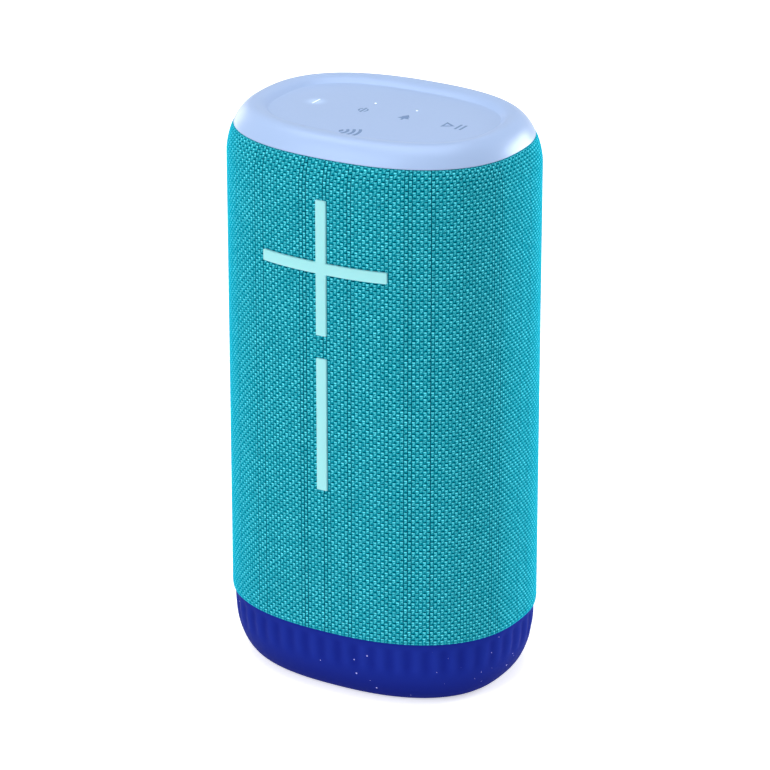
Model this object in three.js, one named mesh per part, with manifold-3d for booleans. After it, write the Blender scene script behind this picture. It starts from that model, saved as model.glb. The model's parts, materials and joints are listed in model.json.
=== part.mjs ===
// Portable wireless speaker: a tall rounded body in a woven sleeve, with a soft dished cap,
// a rubber boot, sprung keys, two drivers, two passive radiators, a battery and its boards.
// Millimetres, +Z up. The origin is the middle of the footprint. The front, with the large
// volume keys, faces -Y. The charge socket and its door face +Y.

import * as THREE from "three";
import { mergeVertices } from "three/addons/utils/BufferGeometryUtils.js";
import Module from "manifold-3d";

const wasm = await Module();
wasm.setup();

// ---- driving dimensions -------------------------------------------------------------------

const HEIGHT = 213;
const BODY_HALF_X = 57.2;
const BODY_HALF_Y = 44.3;
const BODY_POWER = 2.37; // superellipse exponent of the plan
const GAP = 0.3; // clearance kept between neighbouring pieces
const SKIN_SIDES = 40; // facets round the outer skins
const CORE_SIDES = 24; // facets round the inner shells

const CAP_SEAM_Z = 205.8;
const SHOULDER_START_Z = 195.5;
const CREST_INSET = 9.8; // from the body outline in to the highest line of the cap
const SHOULDER_POWER = 1.75;
const CAP_WALL = 2.1;

const DISH_DEPTH = 2.3;
const DISH_HALF_X = 42;
const DISH_HALF_Y = 28;
const DISH_POWER = 2.7;
const DISH_FLOOR_Z = HEIGHT - DISH_DEPTH;
const DISH_WALL = 2.3;
const CAP_UNDERSIDE_Z = DISH_FLOOR_Z - DISH_WALL;

const BASE_SEAM_Z = 26;
const BASE_TOP_INSET = 0.95;
const BASE_CURVE_HEIGHT = 20.5;
const BASE_CURVE_INSET = 9.4;
const BASE_POWER = 1.8;
const BOOT_WALL = 2.4;

const FABRIC_THICKNESS = 1.4;
const SHELL_OUTER = FABRIC_THICKNESS + GAP; // offset of the grille shell below the sleeve's face
const SHELL_WALL = 2.2;
const SHELL_INNER = SHELL_OUTER + SHELL_WALL;
const SHELL_BOTTOM_Z = 28;
const SHELL_TOP_Z = 203;

const KEY_RADIUS = 7;
const KEY_TRAVEL = 0.5;
const KEY_X = { power: -28.2, pair: -8.5, boost: 8.5, play: 28.2 };
const LED_Y = 8.7;
const LED_RADIUS = 0.5;
const FRAME_TOP_Z = CAP_UNDERSIDE_Z - GAP;
const FRAME_PLATE = 1.5;
const SWITCH_TOP_Z = 204.4;
const KEY_BOARD_Z = 202.2;
const BOARD_THICKNESS = 1.2;

const MARK_WIDTH = 4.1;
const MARK_LENGTH = 50.5;
const MARK_PROUD = 0.5;
const MARK_ROUNDING = 0.45; // corner radius as a share of half the bar's width
const PLUS_Z = 166.3;
const MINUS_Z = 107.1;
const MARK_FLANGE = 1.6; // how far the hidden flange stands out beyond the mark
const VOLUME_BOARD_Y = -36; // rear face of the board behind the volume keys

const TUB_INSET = 9;
const TUB_WALL = 2.5;
const TUB_BOTTOM_Z = 27;
const TUB_TOP_Z = 187;
const LID_THICKNESS = 2.7;
const GASKET_THICKNESS = 0.8;
const LID_Z = TUB_TOP_Z + GASKET_THICKNESS + 2 * GAP;

const DRIVER_Z = 137;
const DRIVER_RADIUS = 25;
const DRIVER_SEAT = 43; // distance from the middle of the body to the seat
const DRIVER_CONE_RADIUS = 17;
const COIL_RADIUS = 6;
const RADIATOR_Z = 70;
const RADIATOR_RADIUS = 29;
const RADIATOR_SEAT = 32.4;
const DIAPHRAGM_RADIUS = 19;

const CELL_RADIUS = 9.1;
const CELL_LENGTH = 65;
const CELL_Z = 33;
const CELL_PITCH = 19;

const DOOR_WIDTH = 24;
const DOOR_LOW_Z = 8;
const DOOR_HIGH_Z = 19.5;
const DOOR_ROUNDING = 3;
const SOCKET_Z = 14;
const SOCKET_MOUTH_Y = 37.6;
const SOCKET_DEPTH = 7.4;

const SCREW_RADIUS = 1.2;
const SCREW_HEAD_RADIUS = 2.4;
const SCREW_HEAD = 1.6;
const BOSS_RADIUS = 3.2;
const LID_BOSS_DEPTH = 14;
const PAST_SKIN = 60; // a distance from the middle that lies outside the speaker

const ROUND_SIDES = 20; // facets round the keys and cells
const PIN_SIDES = 8; // facets round screws, pins and small holes

// ---- materials ----------------------------------------------------------------------------

function material(color, roughness, metalness = 0) {
  return new THREE.MeshStandardMaterial({ color, roughness, metalness });
}

const MATERIALS = {
  silicone: material(0xb4cdf5, 0.55),
  keys: material(0xb4cdf5, 0.55),
  light: material(0xf4fbff, 0.3),
  fabric: material(0x1698ae, 0.9),
  marks: material(0xa8f3fa, 0.5),
  boot: material(0x1c238c, 0.6),
  shell: material(0x14202b, 0.7),
  casing: material(0x23262b, 0.6),
  board: material(0x14532d, 0.5),
  steel: material(0x9aa0a6, 0.35, 1),
  magnet: material(0x3a3d42, 0.4, 1),
  cone: material(0x17181b, 0.8),
  rubber: material(0x111214, 0.85),
  cell: material(0x2f7d5b, 0.4),
  heatsink: material(0xb9bec4, 0.4, 1),
};

// ---- closed meshes and booleans -----------------------------------------------------------

// Merges the corners of a geometry, drops its flat triangles and turns it to face outwards.
function closed(geometry) {
  const bare = new THREE.BufferGeometry();
  bare.setAttribute("position", geometry.getAttribute("position").clone());
  if (geometry.index) {
    bare.setIndex(geometry.index.clone());
  }
  const merged = mergeVertices(bare, 1e-4);
  const position = merged.getAttribute("position");
  const corner = (i) => new THREE.Vector3().fromBufferAttribute(position, i);
  const kept = [];
  let volume = 0;
  for (let i = 0; i < merged.index.count; i += 3) {
    const [a, b, c] = [0, 1, 2].map((k) => merged.index.getX(i + k));
    if (a !== b && b !== c && c !== a) {
      kept.push([a, b, c]);
      volume += corner(a).dot(corner(b).cross(corner(c)));
    }
  }
  const ordered = volume < 0 ? kept.map(([a, b, c]) => [a, c, b]) : kept;
  merged.setIndex(ordered.flat());
  return merged;
}

function solid(geometry) {
  const mesh = closed(geometry);
  const vertProperties = new Float32Array(mesh.getAttribute("position").array);
  const triVerts = new Uint32Array(mesh.index.array);
  return new wasm.Manifold(new wasm.Mesh({ numProp: 3, vertProperties, triVerts }));
}

function geometryOf(manifold) {
  const mesh = manifold.getMesh();
  const geometry = new THREE.BufferGeometry();
  geometry.setAttribute("position", new THREE.BufferAttribute(mesh.vertProperties, 3));
  geometry.setIndex(new THREE.BufferAttribute(mesh.triVerts, 1));
  return geometry;
}

// Joins the bodies, then cuts the cutters away.
function carve(bodies, cutters = []) {
  const joined = bodies.map(solid).reduce((all, next) => all.add(next));
  return geometryOf(cutters.map(solid).reduce((rest, cutter) => rest.subtract(cutter), joined));
}

function common(first, second) {
  return geometryOf(solid(first).intersect(solid(second)));
}

// ---- outlines and lofts -------------------------------------------------------------------

function superellipse(halfX, halfY, power, sides, inset = 0) {
  const points = [];
  for (let i = 0; i < sides; i += 1) {
    const angle = (2 * Math.PI * i) / sides;
    const c = Math.cos(angle);
    const s = Math.sin(angle);
    const x = Math.sign(c) * Math.abs(c) ** (2 / power) * halfX;
    const y = Math.sign(s) * Math.abs(s) ** (2 / power) * halfY;
    const normal = new THREE.Vector2(
      Math.sign(x) * (Math.abs(x) / halfX) ** (power - 1) / halfX,
      Math.sign(y) * (Math.abs(y) / halfY) ** (power - 1) / halfY,
    ).normalize();
    points.push(new THREE.Vector2(x, y).addScaledVector(normal, -inset));
  }
  return points;
}

function ringAt(points, z) {
  return points.map((point) => new THREE.Vector3(point.x, point.y, z));
}

// A level ring at a distance inside the body's outline.
function bodyRing(inset, z, sides = SKIN_SIDES) {
  return ringAt(superellipse(BODY_HALF_X, BODY_HALF_Y, BODY_POWER, sides, inset), z);
}

// Joins rings of equal count into one closed solid. "ends" caps the first and last ring;
// otherwise the last ring joins the first, as in a hollow sleeve.
function loft(rings, ends) {
  const count = rings[0].length;
  const points = rings.flat();
  const faces = [];
  const spans = ends ? rings.length - 1 : rings.length;
  for (let r = 0; r < spans; r += 1) {
    const low = r * count;
    const high = ((r + 1) % rings.length) * count;
    for (let i = 0; i < count; i += 1) {
      const j = (i + 1) % count;
      faces.push(low + i, low + j, high + j, low + i, high + j, high + i);
    }
  }
  if (ends) {
    const last = (rings.length - 1) * count;
    const middles = [rings[0], rings[rings.length - 1]].map((ring) =>
      ring.reduce((sum, point) => sum.add(point), new THREE.Vector3()).divideScalar(count),
    );
    points.push(...middles);
    for (let i = 0; i < count; i += 1) {
      const j = (i + 1) % count;
      faces.push(points.length - 2, j, i, points.length - 1, last + i, last + j);
    }
  }
  const geometry = new THREE.BufferGeometry().setFromPoints(points);
  geometry.setIndex(faces);
  return closed(geometry);
}

function lerpRing(from, to, share) {
  return from.map((point, i) => point.clone().lerp(to[i], share));
}

// How far the cap and sleeve draw in above the shoulder line.
function shoulderInset(z) {
  if (z <= SHOULDER_START_Z) {
    return 0;
  }
  const share = Math.min((z - SHOULDER_START_Z) / (HEIGHT - SHOULDER_START_Z), 1);
  return CREST_INSET * (1 - (1 - share ** SHOULDER_POWER) ** (1 / SHOULDER_POWER));
}

// How far the boot draws in towards the floor.
function baseInset(z) {
  const share = Math.max(1 - z / BASE_CURVE_HEIGHT, 0);
  return BASE_TOP_INSET + BASE_CURVE_INSET * (1 - (1 - share ** BASE_POWER) ** (1 / BASE_POWER));
}

// ---- simple solids ------------------------------------------------------------------------

function box(low, high) {
  const from = new THREE.Vector3(...low);
  const to = new THREE.Vector3(...high);
  const size = to.clone().sub(from);
  const middle = from.add(to).divideScalar(2);
  return new THREE.BoxGeometry(size.x, size.y, size.z).translate(middle.x, middle.y, middle.z);
}

// A round solid about +Z: each profile point is [radius, height].
function turned(profile, sides = 16) {
  const points = profile.map(([radius, height]) => new THREE.Vector2(radius, height));
  return closed(new THREE.LatheGeometry(points, sides).rotateX(Math.PI / 2));
}

function rod(x, y, lowZ, highZ, radius, sides = ROUND_SIDES) {
  const profile = [[0, lowZ], [radius, lowZ], [radius, highZ], [0, highZ]];
  return turned(profile, sides).translate(x, y, 0);
}

// Turns a solid made about +Z so that it faces along +X, -X, +Y or -Y.
function facing(geometry, direction) {
  const target = new THREE.Vector3(...direction);
  const turn = new THREE.Quaternion().setFromUnitVectors(new THREE.Vector3(0, 0, 1), target);
  return geometry.clone().applyQuaternion(turn);
}

function roundedPlate(halfX, halfZ, radius) {
  const shape = new THREE.Shape();
  shape.moveTo(-halfX + radius, -halfZ);
  shape.lineTo(halfX - radius, -halfZ);
  shape.absarc(halfX - radius, -halfZ + radius, radius, -Math.PI / 2, 0);
  shape.absarc(halfX - radius, halfZ - radius, radius, 0, Math.PI / 2);
  shape.absarc(-halfX + radius, halfZ - radius, radius, Math.PI / 2, Math.PI);
  shape.absarc(-halfX + radius, -halfZ + radius, radius, Math.PI, 1.5 * Math.PI);
  return shape;
}

// A prism along Y with the given outline in X and Z.
function prismY(shape, lowY, highY, centreZ, curveSegments = 5) {
  const depth = highY - lowY;
  const prism = new THREE.ExtrudeGeometry(shape, { depth, bevelEnabled: false, curveSegments });
  return prism.rotateX(Math.PI / 2).translate(0, highY, centreZ);
}

// ---- the assembly -------------------------------------------------------------------------

const speaker = new THREE.Group();

function addPart(name, geometry, look, parent = speaker) {
  const mesh = new THREE.Mesh(closed(geometry), look);
  mesh.geometry.computeVertexNormals();
  mesh.name = name;
  parent.add(mesh);
  return mesh;
}

// ---- top cap and frame --------------------------------------------------------------------

const KEY_NAMES = Object.keys(KEY_X);
const dishRing = ringAt(
  superellipse(DISH_HALF_X, DISH_HALF_Y, DISH_POWER, SKIN_SIDES),
  DISH_FLOOR_Z,
);

function keyHoles(radius, lowZ, highZ) {
  return KEY_NAMES.map((key) => rod(KEY_X[key], 0, lowZ, highZ, radius, ROUND_SIDES));
}

function ledHoles(radius, lowZ, highZ) {
  return ["pair", "boost"].map((key) => rod(KEY_X[key], LED_Y, lowZ, highZ, radius, PIN_SIDES));
}

function topCap() {
  const crest = bodyRing(CREST_INSET, HEIGHT);
  const wallShares = [[0.9, 0.87], [0.72, 0.5], [0.4, 0.12]]; // [way to the dish, drop]
  const wall = wallShares.map(([way, drop]) => {
    const ring = lerpRing(crest, dishRing, way);
    ring.forEach((point) => point.setZ(HEIGHT - DISH_DEPTH * drop));
    return ring;
  });
  const outerZ = [212.6, 211.6, 210, 208, CAP_SEAM_Z];
  const outer = outerZ.map((z) => bodyRing(shoulderInset(z), z));
  const inner = [
    bodyRing(shoulderInset(CAP_SEAM_Z) + CAP_WALL, CAP_SEAM_Z),
    bodyRing(shoulderInset(208) + 1.6, 207),
    bodyRing(CREST_INSET - 1, HEIGHT - CAP_WALL - 1.2),
    bodyRing(CREST_INSET + 0.6, HEIGHT - CAP_WALL - 0.6),
    dishRing.map((point) => point.clone().setZ(CAP_UNDERSIDE_Z)),
  ];
  const skin = loft([dishRing, ...wall, crest, ...outer, ...inner], true);
  const keys = keyHoles(KEY_RADIUS + GAP, CAP_UNDERSIDE_Z - 2, HEIGHT);
  const leds = ledHoles(LED_RADIUS + GAP, CAP_UNDERSIDE_Z - 2, HEIGHT);
  return carve([skin], [...keys, ...leds]);
}

function topFrame() {
  const rimInset = 8.6;
  const skirtInset = 6;
  const skirtWall = 2;
  const skirtZ = 197;
  const stemHoleRadius = 2.8;
  const plateZ = FRAME_TOP_Z - FRAME_PLATE;
  const frame = loft(
    [
      bodyRing(rimInset, FRAME_TOP_Z, CORE_SIDES),
      bodyRing(skirtInset + 1.2, FRAME_TOP_Z - 1.6, CORE_SIDES),
      bodyRing(skirtInset, CAP_SEAM_Z - 1, CORE_SIDES),
      bodyRing(skirtInset, skirtZ, CORE_SIDES),
      bodyRing(skirtInset + skirtWall, skirtZ, CORE_SIDES),
      bodyRing(skirtInset + skirtWall, CAP_SEAM_Z - 1, CORE_SIDES),
      bodyRing(rimInset + skirtWall, plateZ, CORE_SIDES),
    ],
    true,
  );
  const stems = keyHoles(stemHoleRadius, plateZ - 1, HEIGHT);
  const leds = ledHoles(LED_RADIUS + GAP, plateZ - 1, HEIGHT);
  return carve([frame], [...stems, ...leds]);
}

addPart("top_cap", topCap(), MATERIALS.silicone);
addPart("top_frame", topFrame(), MATERIALS.casing);

// ---- keys in the dish ---------------------------------------------------------------------

const POWER_BAR = { length: 5.6, width: 0.6, depth: 0.9, middleY: 0.3 };

function keyBody(x) {
  const stemRadius = 2.2;
  const stemLap = 0.2;
  const padBottomZ = CAP_UNDERSIDE_Z + KEY_TRAVEL + 0.1;
  const stemBottomZ = SWITCH_TOP_Z + KEY_TRAVEL + GAP;
  const pad = rod(x, 0, padBottomZ, DISH_FLOOR_Z, KEY_RADIUS);
  const stem = rod(x, 0, stemBottomZ, padBottomZ + stemLap, stemRadius, PIN_SIDES);
  return [pad, stem];
}

function powerBar(grow, lowZ, highZ) {
  const halfLength = POWER_BAR.length / 2 + grow;
  const halfWidth = POWER_BAR.width / 2 + grow;
  const bar = box([-halfWidth, -halfLength, lowZ], [halfWidth, halfLength, highZ]);
  return bar.translate(KEY_X.power, POWER_BAR.middleY, 0);
}

for (const key of KEY_NAMES) {
  const slotZ = DISH_FLOOR_Z - POWER_BAR.depth - GAP;
  const slot = key === "power" ? [powerBar(GAP, slotZ, HEIGHT)] : [];
  addPart(`key_${key}`, carve(keyBody(KEY_X[key]), slot), MATERIALS.keys);
}
addPart(
  "power_light",
  powerBar(0, DISH_FLOOR_Z - POWER_BAR.depth, DISH_FLOOR_Z),
  MATERIALS.light,
);

for (const key of ["pair", "boost"]) {
  const pipe = rod(KEY_X[key], LED_Y, SWITCH_TOP_Z, DISH_FLOOR_Z, LED_RADIUS, PIN_SIDES);
  addPart(`${key}_light_pipe`, pipe, MATERIALS.light);
}

// ---- boards under the cap -----------------------------------------------------------------

function keyBoard() {
  const halfX = 36;
  const halfY = 13;
  const switchHalf = 2.6;
  const top = KEY_BOARD_Z + BOARD_THICKNESS;
  const plate = box([-halfX, -halfY, KEY_BOARD_Z], [halfX, halfY, top]);
  const switches = KEY_NAMES.map((key) =>
    box(
      [KEY_X[key] - switchHalf, -switchHalf, top - 0.1],
      [KEY_X[key] + switchHalf, switchHalf, SWITCH_TOP_Z],
    ),
  );
  const plug = box([-5, -11, KEY_BOARD_Z - 2], [5, -8, KEY_BOARD_Z + 0.1]);
  return carve([plate, ...switches, plug]);
}

const MAIN_BOARD_Z = LID_Z + LID_THICKNESS + 3.4;
const MAIN_BOARD_TOP_Z = MAIN_BOARD_Z + 1.6;
const BOARD_HOLE_RADIUS = 1.5;
const BOARD_FIXINGS = [[-34, -15], [34, -15], [-34, 15], [34, 15]];

function mainBoard() {
  const top = MAIN_BOARD_TOP_Z;
  const plate = box([-38, -20, MAIN_BOARD_Z], [38, 20, top]);
  const chips = [
    box([-30, -14, top - 0.1], [-20, -4, top + 1.4]),
    box([-14, -15, top - 0.1], [-6, -7, top + 1.1]),
    box([-16, 6, top - 0.1], [-8, 14, top + 2.4]),
    box([-4, 6, top - 0.1], [4, 14, top + 2.4]),
    box([27, -6, top - 0.1], [35, 4, top + 3]),
  ];
  const holes = BOARD_FIXINGS.map(([x, y]) =>
    rod(x, y, MAIN_BOARD_Z - 1, top + 1, BOARD_HOLE_RADIUS, PIN_SIDES),
  );
  return carve([plate, ...chips], holes);
}

function heatSink() {
  const low = MAIN_BOARD_TOP_Z + GAP;
  const [lowX, highX, halfY] = [8, 24, 8];
  const finHalf = 0.5;
  const slab = box([lowX, -halfY, low], [highX, halfY, low + 1]);
  const fins = [-7.4, -3.7, 0, 3.7, 7.4].map((y) =>
    box([lowX, y - finHalf, low + 0.9], [highX, y + finHalf, low + 3]),
  );
  return carve([slab, ...fins]);
}

addPart("key_board", keyBoard(), MATERIALS.board);
addPart("main_board", mainBoard(), MATERIALS.board);
addPart("amplifier_heat_sink", heatSink(), MATERIALS.heatsink);
addPart("antenna_strip", box([-14, 26, 192], [14, 27, 200]), MATERIALS.board);

// ---- sleeve, grille shell and volume keys -------------------------------------------------

// The skin between two distances from the sleeve's outer face, over the whole side.
function sideSkin(outer, inner, levels, sides = SKIN_SIDES) {
  const up = levels.map((z) => bodyRing(shoulderInset(z) + outer, z, sides));
  const down = [...levels].reverse().map((z) => bodyRing(shoulderInset(z) + inner, z, sides));
  return loft([...up, ...down], false);
}

function bar(halfX, halfZ) {
  return roundedPlate(halfX, halfZ, Math.min(halfX, halfZ) * MARK_ROUNDING);
}

// The two bars of the plus, or the single bar of the minus, as prisms through the front.
function markPrisms(kind, grow, lowY, highY) {
  const across = MARK_WIDTH / 2 + grow;
  const along = MARK_LENGTH / 2 + grow;
  if (kind === "minus") {
    return [prismY(bar(across, along), lowY, highY, MINUS_Z, 3)];
  }
  return [
    prismY(bar(across, along), lowY, highY, PLUS_Z, 3),
    prismY(bar(along, across), lowY, highY, PLUS_Z, 3),
  ];
}

const SLEEVE_LEVELS = [BASE_SEAM_Z, 110, SHOULDER_START_Z, 199.5, 203, CAP_SEAM_Z - GAP];
const SHELL_LEVELS = [SHELL_BOTTOM_Z, 110, SHOULDER_START_Z, 199.5, SHELL_TOP_Z];
const FRONT_Y = [-BODY_HALF_Y - 4, -30];

function fabricSleeve() {
  const skin = sideSkin(0, FABRIC_THICKNESS, SLEEVE_LEVELS);
  const cuts = ["plus", "minus"].flatMap((kind) => markPrisms(kind, GAP, ...FRONT_Y));
  return carve([skin], cuts);
}

function grilleShell() {
  const skin = sideSkin(SHELL_OUTER, SHELL_INNER, SHELL_LEVELS);
  const marks = ["plus", "minus"].flatMap((kind) => markPrisms(kind, GAP, ...FRONT_Y));
  const pitch = 13;
  const halfHigh = 4;
  const slots = [];
  for (const row of [-1, 0, 1]) {
    const z = DRIVER_Z + row * pitch;
    slots.push(box([-70, -17, z - halfHigh], [-40, 17, z + halfHigh]));
    slots.push(box([40, -17, z - halfHigh], [70, 17, z + halfHigh]));
  }
  for (const row of [0, 1]) {
    const z = RADIATOR_Z - 6 - row * pitch;
    slots.push(box([-20, -PAST_SKIN, z - halfHigh], [20, -34, z + halfHigh]));
    slots.push(box([-20, 34, z - halfHigh], [20, PAST_SKIN, z + halfHigh]));
  }
  return carve([skin], [...marks, ...slots]);
}

const MARK_LEVELS = [75, 140, SHOULDER_START_Z];

function volumeKey(kind) {
  const flangeFront = SHELL_INNER + GAP;
  const flangeThickness = 1;
  const lap = 0.2;
  const face = sideSkin(-MARK_PROUD, flangeFront + lap, MARK_LEVELS);
  const flange = sideSkin(flangeFront, flangeFront + flangeThickness, MARK_LEVELS);
  const pieces = [
    ...markPrisms(kind, 0, ...FRONT_Y).map((prism) => common(prism, face)),
    ...markPrisms(kind, MARK_FLANGE, ...FRONT_Y).map((prism) => common(prism, flange)),
  ];
  return carve(pieces);
}

const BOARD_FRONT_Y = VOLUME_BOARD_Y - BOARD_THICKNESS;

function volumeBoard() {
  const half = 2.2;
  const plate = box([-5, BOARD_FRONT_Y, MINUS_Z - 4], [5, VOLUME_BOARD_Y, PLUS_Z + 20]);
  const switches = [MINUS_Z, PLUS_Z].map((z) =>
    box([-half, BOARD_FRONT_Y - 0.9, z - half], [half, BOARD_FRONT_Y + 0.1, z + half]),
  );
  return carve([plate, ...switches]);
}

addPart("fabric_sleeve", fabricSleeve(), MATERIALS.fabric);
addPart("grille_shell", grilleShell(), MATERIALS.shell);
addPart("key_volume_up", volumeKey("plus"), MATERIALS.marks);
addPart("key_volume_down", volumeKey("minus"), MATERIALS.marks);
addPart("volume_board", volumeBoard(), MATERIALS.board);

// ---- sealed enclosure ---------------------------------------------------------------------

const SIDES_X = { left: [-1, 0, 0], right: [1, 0, 0] };
const SIDES_Y = { front: [0, -1, 0], rear: [0, 1, 0] };
const corners = (x, y) => [[-x, -y], [x, -y], [-x, y], [x, y]];
const LID_SCREWS = corners(34.3, 22.2);
const BASE_SCREWS = corners(30, 18);
const BASE_BOSS_Z = TUB_BOTTOM_Z + 6;
const COLLAR_WALL = 0.8;

function tubShell() {
  const innerInset = TUB_INSET + TUB_WALL;
  return loft(
    [
      bodyRing(TUB_INSET, TUB_BOTTOM_Z, CORE_SIDES),
      bodyRing(TUB_INSET, TUB_TOP_Z, CORE_SIDES),
      bodyRing(innerInset, TUB_TOP_Z, CORE_SIDES),
      bodyRing(innerInset, TUB_BOTTOM_Z + TUB_WALL, CORE_SIDES),
    ],
    true,
  );
}

function tub() {
  const plain = tubShell();
  const collars = [];
  const cuts = [];
  const sides = CORE_SIDES;
  const place = (low, high, radius, direction, z) =>
    facing(rod(0, 0, low, high, radius, sides), direction).translate(0, 0, z);
  const driverCollar = DRIVER_RADIUS + COLLAR_WALL;
  for (const direction of Object.values(SIDES_X)) {
    collars.push(place(36, DRIVER_SEAT, driverCollar, direction, DRIVER_Z));
    cuts.push(place(DRIVER_SEAT, PAST_SKIN, driverCollar + 0.1, direction, DRIVER_Z));
    cuts.push(place(20, PAST_SKIN, DRIVER_CONE_RADIUS + 6.4, direction, DRIVER_Z));
  }
  const radiatorCollar = RADIATOR_RADIUS + COLLAR_WALL;
  for (const direction of Object.values(SIDES_Y)) {
    collars.push(place(27, RADIATOR_SEAT, radiatorCollar, direction, RADIATOR_Z));
    cuts.push(place(RADIATOR_SEAT, PAST_SKIN, radiatorCollar + 0.1, direction, RADIATOR_Z));
    cuts.push(place(14, PAST_SKIN, RADIATOR_RADIUS - 2.6, direction, RADIATOR_Z));
  }
  const bosses = LID_SCREWS.map(([x, y]) =>
    rod(x, y, TUB_TOP_Z - LID_BOSS_DEPTH, TUB_TOP_Z, BOSS_RADIUS, PIN_SIDES),
  );
  const feet = BASE_SCREWS.map(([x, y]) =>
    rod(x, y, TUB_BOTTOM_Z + 1, BASE_BOSS_Z, BOSS_RADIUS, PIN_SIDES),
  );
  const pilots = [
    ...LID_SCREWS.map(([x, y]) =>
      rod(x, y, TUB_TOP_Z - 10, TUB_TOP_Z + 1, SCREW_RADIUS + GAP, PIN_SIDES),
    ),
    ...BASE_SCREWS.map(([x, y]) =>
      rod(x, y, TUB_BOTTOM_Z - 1, BASE_BOSS_Z - 1, SCREW_RADIUS + GAP, PIN_SIDES),
    ),
  ];
  return carve([plain, ...collars, ...bosses, ...feet], [...cuts, ...pilots]);
}

function lid() {
  const plate = loft(
    [
      bodyRing(TUB_INSET, LID_Z, CORE_SIDES),
      bodyRing(TUB_INSET, LID_Z + LID_THICKNESS, CORE_SIDES),
    ],
    true,
  );
  const top = LID_Z + LID_THICKNESS;
  const standoffRadius = 2.4;
  const standoffs = BOARD_FIXINGS.map(([x, y]) =>
    rod(x, y, top - 0.1, MAIN_BOARD_Z - GAP, standoffRadius, PIN_SIDES),
  );
  const holes = LID_SCREWS.map(([x, y]) =>
    rod(x, y, LID_Z - 1, top + 1, SCREW_RADIUS + GAP, PIN_SIDES),
  );
  return carve([plate, ...standoffs], holes);
}

function lidGasket() {
  const low = TUB_TOP_Z + GAP;
  const ring = loft(
    [
      bodyRing(TUB_INSET + 0.2, low, CORE_SIDES),
      bodyRing(TUB_INSET + 0.2, low + GASKET_THICKNESS, CORE_SIDES),
      bodyRing(TUB_INSET + TUB_WALL, low + GASKET_THICKNESS, CORE_SIDES),
      bodyRing(TUB_INSET + TUB_WALL, low, CORE_SIDES),
    ],
    false,
  );
  const holeRadius = 2;
  const holes = LID_SCREWS.map(([x, y]) => rod(x, y, low - 2, low + 4, holeRadius, PIN_SIDES));
  return carve([ring], holes);
}

addPart("enclosure_tub", tub(), MATERIALS.casing);
addPart("enclosure_lid", lid(), MATERIALS.casing);
addPart("lid_gasket", lidGasket(), MATERIALS.rubber);

// ---- drivers ------------------------------------------------------------------------------

// Round profiles are [radius, distance from the seat], positive towards the outside.
function driverBasket() {
  const basket = turned([
    [DRIVER_CONE_RADIUS + 6, 0.3],
    [DRIVER_RADIUS, 0.3],
    [DRIVER_RADIUS, 2],
    [DRIVER_CONE_RADIUS + 5.4, 2],
    [DRIVER_CONE_RADIUS + 4.6, -1],
    [13, -12.5],
    [10, -12.5],
    [10, -14],
    [14, -14],
    [DRIVER_CONE_RADIUS + 6, -1.4],
    [DRIVER_CONE_RADIUS + 6, 0.3],
  ]);
  const windows = [0, 1].map((k) =>
    box([-6, -30, -11], [6, 30, -4]).rotateZ((k * Math.PI) / 2),
  );
  return carve([basket], windows);
}

function driverMagnet() {
  const rear = -29;
  const front = -14.4;
  return turned([
    [0, rear],
    [15.5, rear],
    [15.5, front],
    [COIL_RADIUS + 1, front],
    [COIL_RADIUS + 1, front - 8],
    [COIL_RADIUS - 1.1, front - 8],
    [COIL_RADIUS - 1.1, front],
    [0, front],
  ]);
}

function driverCone() {
  const wall = 0.8;
  return turned([
    [0, -4.4],
    [4, -5.2],
    [COIL_RADIUS, -7.6],
    [DRIVER_CONE_RADIUS, 0],
    [DRIVER_CONE_RADIUS, -wall],
    [COIL_RADIUS + 0.4, -8.8],
    [COIL_RADIUS + 0.4, -17],
    [COIL_RADIUS - 0.4, -17],
    [COIL_RADIUS - 0.4, -8.6],
    [4, -6],
    [0, -5.2],
  ]);
}

// A half-round roll between two radii, as a closed strip of even thickness.
function roll(inner, outer, base, rise, thickness) {
  const middle = (inner + outer) / 2;
  const span = (outer - inner) / 2 - thickness;
  const over = [];
  const under = [];
  for (let i = 0; i <= 4; i += 1) {
    const angle = Math.PI * (1 - i / 4);
    const lift = Math.sin(angle);
    over.push([middle + (span + thickness) * Math.cos(angle), base + (rise + thickness) * lift]);
    under.push([middle + span * Math.cos(angle), base + rise * lift - thickness * (1 - lift)]);
  }
  const loop = [...over, ...under.reverse()];
  return turned([...loop, loop[0]]);
}

for (const [side, direction] of Object.entries(SIDES_X)) {
  const place = (geometry) =>
    facing(geometry.translate(0, 0, DRIVER_SEAT), direction).translate(0, 0, DRIVER_Z);
  addPart(`driver_${side}_basket`, place(driverBasket()), MATERIALS.steel);
  addPart(`driver_${side}_magnet`, place(driverMagnet()), MATERIALS.magnet);
  addPart(`driver_${side}_cone`, place(driverCone()), MATERIALS.cone);
  const surround = roll(DRIVER_CONE_RADIUS + GAP, DRIVER_CONE_RADIUS + 4.7, 0.6, 1.6, 0.7);
  addPart(`driver_${side}_surround`, place(surround), MATERIALS.rubber);
}

// ---- passive radiators --------------------------------------------------------------------

function radiatorFrame() {
  const inner = DIAPHRAGM_RADIUS + 6;
  return turned([
    [inner, -3],
    [inner + 1, -3],
    [inner + 1, 0.3],
    [RADIATOR_RADIUS, 0.3],
    [RADIATOR_RADIUS, 1.9],
    [inner, 1.9],
    [inner, -3],
  ]);
}

function radiatorDiaphragm() {
  return turned([
    [0, -3.4],
    [8, -3.4],
    [10, -1.4],
    [DIAPHRAGM_RADIUS, -1],
    [DIAPHRAGM_RADIUS, 0.2],
    [9, -0.2],
    [0, -0.6],
  ]);
}

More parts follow.
